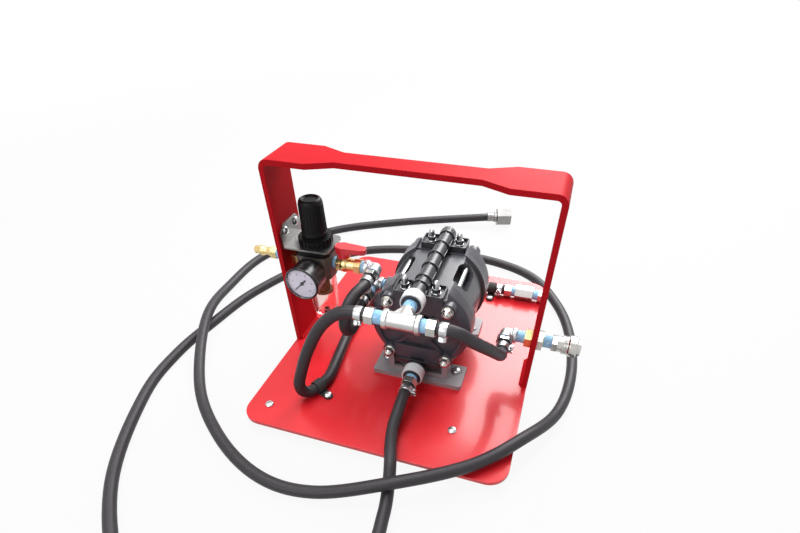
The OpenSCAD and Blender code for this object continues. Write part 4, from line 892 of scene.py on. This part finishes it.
# %% Thread sealant
BANDS = [
    ((42, -112, 139), (1, 0, 0), 6), ((4, -112, 139), (-1, 0, 0), 9), ((115, -27, 69), (0, -1, 0), 2),
    ((-42, -27, 126), (0, -1, 0), 2), ((-48, -18, 100), (0, -1, 0), 10), ((23, -85, 37), (0, -1, 0), 5),
    ((108, 136, 24.6), (-1, 0, 0), 5), ((-136, -15, 126), (1, 0, 0), 4), ((-166, -15, 126), (1, 0, 0), 9.4),
    ((156.6, -15, 69), (1, 0, 0), 9.4), ((127, -15, 69), (1, 0, 0), 9), ((-92, -15, 126), (1, 0, 0), 4),
    ((-58, -15, 126), (1, 0, 0), 4), ((-36, -6, 100), (1, 0, 0), 4), ((23, -95, 139), (0, 1, 0), 10),
    ((133, 136, 24.6), (1, 0, 0), 7)]
SEALANT_R = 6.85
SEALANT_SIDES = 64
RING_GAP = 0.28
LEAST_RINGS = 6
PITCH = 1.4
THREAD_H = 0.12
LUMP = 0.45
LUMPS_ROUND = 3
LUMPS_ALONG = 0.9
FILM = 0.3
SEAM = 0.001


def sealant_at(start, along, length):
    """A lumpy band from a start, along a level way, for a length."""
    bm = bmesh.new()
    rings = max(LEAST_RINGS, round(length / RING_GAP))
    tube = bmesh.ops.create_grid(bm, x_segments=SEALANT_SIDES, y_segments=rings, size=0.5)
    for vert in tube["verts"]:
        turn = 2 * math.pi * (vert.co.x + 0.5)
        high = (vert.co.y + 0.5) * length
        out = Vector((math.cos(turn), math.sin(turn), 0))
        spot = out * LUMPS_ROUND + Vector((0, 0, high * LUMPS_ALONG + start[0]))
        wave = math.sin(2 * math.pi * high / PITCH + turn)
        radius = SEALANT_R + THREAD_H * wave + LUMP * noise.noise(spot)
        vert.co = out * radius + Vector((0, 0, high))
    bmesh.ops.remove_doubles(bm, verts=bm.verts, dist=SEAM)
    bmesh.ops.recalc_face_normals(bm, faces=bm.faces)
    bmesh.ops.solidify(bm, geom=bm.faces[:], thickness=FILM)
    bmesh.ops.transform(bm, matrix=placed(start, along, (0, 0, 1)), verts=bm.verts)
    return bm


sealed = [sealant_at(*band) for band in BANDS]
sealant = gather("thread_sealant", sealed, SEALANT, "frame")
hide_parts("seal_bands")
print("bands", len(BANDS), "faces", len(sealant.data.polygons))

# %% [markdown]
# The diaphragms are rubber discs. The housing clamps their rims, the plates on
# the shaft clamp their middles, and the fold between them takes up the stroke.
# Each disc is spun from its section as eight sectors. A sector follows the
# housing at its rim and the shaft at its middle, and bends in between.

# %% Diaphragms
shaft_low, shaft_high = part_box("diaphragm_shaft")
PUMP_AT = (shaft_low + shaft_high) / 2
SECTION = [
    (4.05, 36), (22, 36), (24, 35), (27, 33), (30, 33), (33, 35), (35, 36), (40, 36), (40, 38), (34, 38),
    (32, 37), (29, 35.5), (27, 35.5), (25, 37), (23, 38), (4.05, 38)]
SECTION_CUTS = 5
SECTORS = 8
SECTOR_TURN = 2 * math.pi / SECTORS
SECTOR_STEPS = 9


def sector_at(turn):
    """One sector of the front disc and of the rear disc."""
    bm = bmesh.new()
    for end in (-1, 1):
        corners = [bm.verts.new((r, end * y, 0)) for r, y in SECTION]
        sides = [bm.edges.new(pair) for pair in zip(corners, corners[1:] + corners[:1])]
        bmesh.ops.subdivide_edges(bm, edges=sides, cuts=SECTION_CUTS)
        outline = [edge for edge in bm.edges if edge.is_wire]
        bmesh.ops.spin(bm, geom=outline, cent=(0, 0, 0), axis=(0, 1, 0), angle=SECTOR_TURN,
                       steps=SECTOR_STEPS)
    bmesh.ops.holes_fill(bm, edges=[edge for edge in bm.edges if edge.is_boundary])
    place = Matrix.Translation(PUMP_AT) @ Matrix.Rotation(turn, 4, "Y") @ Matrix.Scale(MM, 4)
    bmesh.ops.transform(bm, matrix=place, verts=bm.verts)
    return bm


for index in range(SECTORS):
    turn = SECTOR_TURN * index
    sector = gather(f"diaphragm_sector_{index}", [sector_at(turn)], DIAPHRAGM, None)
    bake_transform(sector)
    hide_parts("diaphragms")
print("sectors", SECTORS, "faces of one", len(sector.data.polygons))

# %% [markdown]
# The dial is printed in fine lines: a scale that runs from lower left to lower
# right through three quarters of a turn. Every fifth line is a long one, and
# every tenth has a figure. Ink has next to no thickness, so the lines are thin
# blocks and the figures thin text, just proud of the paint.

# %% Gauge scale
INK_LIFT = 0.04
case_low, case_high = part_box("gauge_case")
DIAL_AT = (case_low + case_high) / 2
DIAL_AT.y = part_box("gauge_dial")[0].y - INK_LIFT * MM
SCALE_FROM = math.radians(225)
SCALE_TURN = math.radians(-270)
SCALE_STEPS = 50
LONG_EVERY = 5
LONG_LINE = (2.6, 0.06, 0.4)
LONG_R = 15.6
SHORT_LINE = (1.4, 0.06, 0.2)
SHORT_R = 16.2
FIGURE_EVERY = 10
FIGURE_VALUE = 2
FIGURE_H = 3.4
FIGURE_T = 0.03
FIGURE_R = 11.6


def dial_spot(step, radius):
    """A place on the dial's scale and the angle that it lies at."""
    angle = SCALE_FROM + SCALE_TURN * step / SCALE_STEPS
    return DIAL_AT + radius * MM * Vector((math.cos(angle), 0, math.sin(angle))), angle


def scale_line(step):
    """A thin block that points at the middle of the dial."""
    size, radius = (SHORT_LINE, SHORT_R) if step % LONG_EVERY else (LONG_LINE, LONG_R)
    spot, angle = dial_spot(step, radius)
    turn = Matrix.Rotation(-angle, 4, "Y") @ Matrix.Scale(MM, 4)
    bm = bmesh.new()
    line = bmesh.ops.create_cube(bm, size=1.0)
    shaped(bm, line, Matrix.Translation(spot) @ turn @ Matrix.Diagonal((*size, 1)))
    return bm


def scale_figure(step):
    """An upright figure, made as text and kept as a mesh."""
    text = bpy.data.curves.new("figure", "FONT")
    text.body = str(FIGURE_VALUE * step // FIGURE_EVERY)
    text.size = FIGURE_H * MM
    text.extrude = FIGURE_T * MM
    text.align_x = "CENTER"
    text.align_y = "CENTER"
    figure = bpy.data.objects.new("figure", text)
    mesh = bpy.data.meshes.new_from_object(figure)
    bm = bmesh.new()
    bm.from_mesh(mesh)
    spot, angle = dial_spot(step, FIGURE_R)
    upright = Matrix.Translation(spot) @ Matrix.Rotation(math.pi / 2, 4, "X")
    bmesh.ops.transform(bm, matrix=upright, verts=bm.verts)
    bpy.data.objects.remove(figure)
    bpy.data.curves.remove(text)
    bpy.data.meshes.remove(mesh)
    return bm


marks = [scale_line(step) for step in range(SCALE_STEPS + 1)]
figures = [scale_figure(step) for step in range(0, SCALE_STEPS + 1, FIGURE_EVERY)]
scale = gather("gauge_scale", marks + figures, INK, "frame")
print("lines", len(marks), "figures", len(figures), "faces", len(scale.data.polygons))

# %% [markdown]
# The floor is a plain pale sheet that runs out of sight. To the camera, in
# mirrors and through clear plastic it shines nearly white, with a little of its
# own shading left near the pump, so that the shadow stays. Further out that
# fades to plain white. To rays that only carry light it is a mid grey, so that
# it throws little light back up at the object.

# %% Floor
FLOOR_HALF = 8.0
FLOOR_GREY = (0.5, 0.5, 0.5, 1)
FLOOR_ROUGH = 0.9
FADE_FROM = 0.6
FADE_TO = 1.8
NEAR_GLOW = 0.92


def seen_rays(tree):
    """1 for rays from the camera, in a mirror or through glass, and 0 for those that only carry light."""
    ray = tree.nodes.new("ShaderNodeLightPath").outputs
    mirrored = math_node(tree, "MAXIMUM", ray["Is Camera Ray"], ray["Is Glossy Ray"])
    return math_node(tree, "MAXIMUM", mirrored, ray["Is Transmission Ray"])


def floor_fade(tree):
    """How much of the glow shows: all of it far from the middle of the floor."""
    place = tree.nodes.new("ShaderNodeTexCoord")
    away = tree.nodes.new("ShaderNodeVectorMath")
    away.operation = "LENGTH"
    tree.links.new(place.outputs["Object"], away.inputs[0])
    fade = tree.nodes.new("ShaderNodeMapRange")
    fade.interpolation_type = "SMOOTHSTEP"
    fade.inputs["From Min"].default_value = FADE_FROM
    fade.inputs["From Max"].default_value = FADE_TO
    fade.inputs["To Min"].default_value = NEAR_GLOW
    tree.links.new(away.outputs["Value"], fade.inputs["Value"])
    return fade.outputs["Result"]


def floor_finish():
    material = bpy.data.materials.new("pale_floor")
    material.use_nodes = True
    tree = material.node_tree
    shader = tree.nodes["Principled BSDF"]
    shader.inputs["Base Color"].default_value = FLOOR_GREY
    shader.inputs["Roughness"].default_value = FLOOR_ROUGH
    glow = tree.nodes.new("ShaderNodeEmission")
    glow.inputs["Strength"].default_value = 1.0
    both = tree.nodes.new("ShaderNodeMixShader")
    tree.links.new(math_node(tree, "MULTIPLY", seen_rays(tree), floor_fade(tree)), both.inputs["Fac"])
    tree.links.new(shader.outputs[0], both.inputs[1])
    tree.links.new(glow.outputs[0], both.inputs[2])
    tree.links.new(both.outputs[0], tree.nodes["Material Output"].inputs["Surface"])
    return material


def pale_floor():
    bm = bmesh.new()
    bmesh.ops.create_grid(bm, x_segments=1, y_segments=1, size=FLOOR_HALF)
    mesh = bpy.data.meshes.new("floor")
    bm.to_mesh(mesh)
    bm.free()
    mesh.materials.append(floor_finish())
    floor = put_in_scene("floor", mesh)
    return floor


floor = pale_floor()
print("floor", 2 * FLOOR_HALF, "m wide, finish", floor.data.materials[0].name)

# %% [markdown]
# Pale surroundings fill the shadows. The camera and the reflections see them as
# white, and the surfaces are lit by them at a plain level.

# %% Surroundings
FILL = 0.18
WHITE_SKY = 1.0


def surroundings():
    world = bpy.data.worlds.new("surroundings")
    bpy.context.scene.world = world
    world.use_nodes = True
    tree = world.node_tree
    fill = tree.nodes["Background"]
    fill.inputs["Color"].default_value = (1, 1, 1, 1)
    tree.links.new(spread(tree, seen_rays(tree), FILL, WHITE_SKY), fill.inputs["Strength"])


surroundings()
print("fill", FILL)

# %% [markdown]
# A large soft lamp hangs over the set, and one behind it brings out the tops
# and the rims. A weak one in front opens the shadows on the near side. They are
# discs, because a round lamp leaves round, quiet reflections in domed nuts.

# %% Lamps
LAMPS = {
    "over_lamp": ((-0.3, 0.1, 1.7), (0, 0, 0.08), 1.5, 25),
    "back_lamp": ((0.20, 1.25, 1.15), (0.05, 0, 0.05), 1.0, 30),
    "front_lamp": ((-0.45, -1.3, 0.9), (0, 0, 0.08), 1.0, 7),
}


def soft_lamp(name, place, aim, size, power):
    """A disc of a size in metres and a power in watts, turned to what it lights."""
    data = bpy.data.lights.new(name, "AREA")
    data.shape = "DISK"
    data.size = size
    data.energy = power
    lamp = put_in_scene(name, data)
    turn = (Vector(aim) - Vector(place)).to_track_quat("-Z", "Y").to_matrix().to_4x4()
    lamp.matrix_world = Matrix.Translation(place) @ turn
    return lamp


for name, lamp in LAMPS.items():
    soft_lamp(name, *lamp)
bpy.context.scene.view_settings.view_transform = "Standard"
print("lamps", list(LAMPS))

# %% [markdown]
# A box's corners are turned into plain lists.

# %% Box corners
def corners(box):
    return [list(corner) for corner in box]
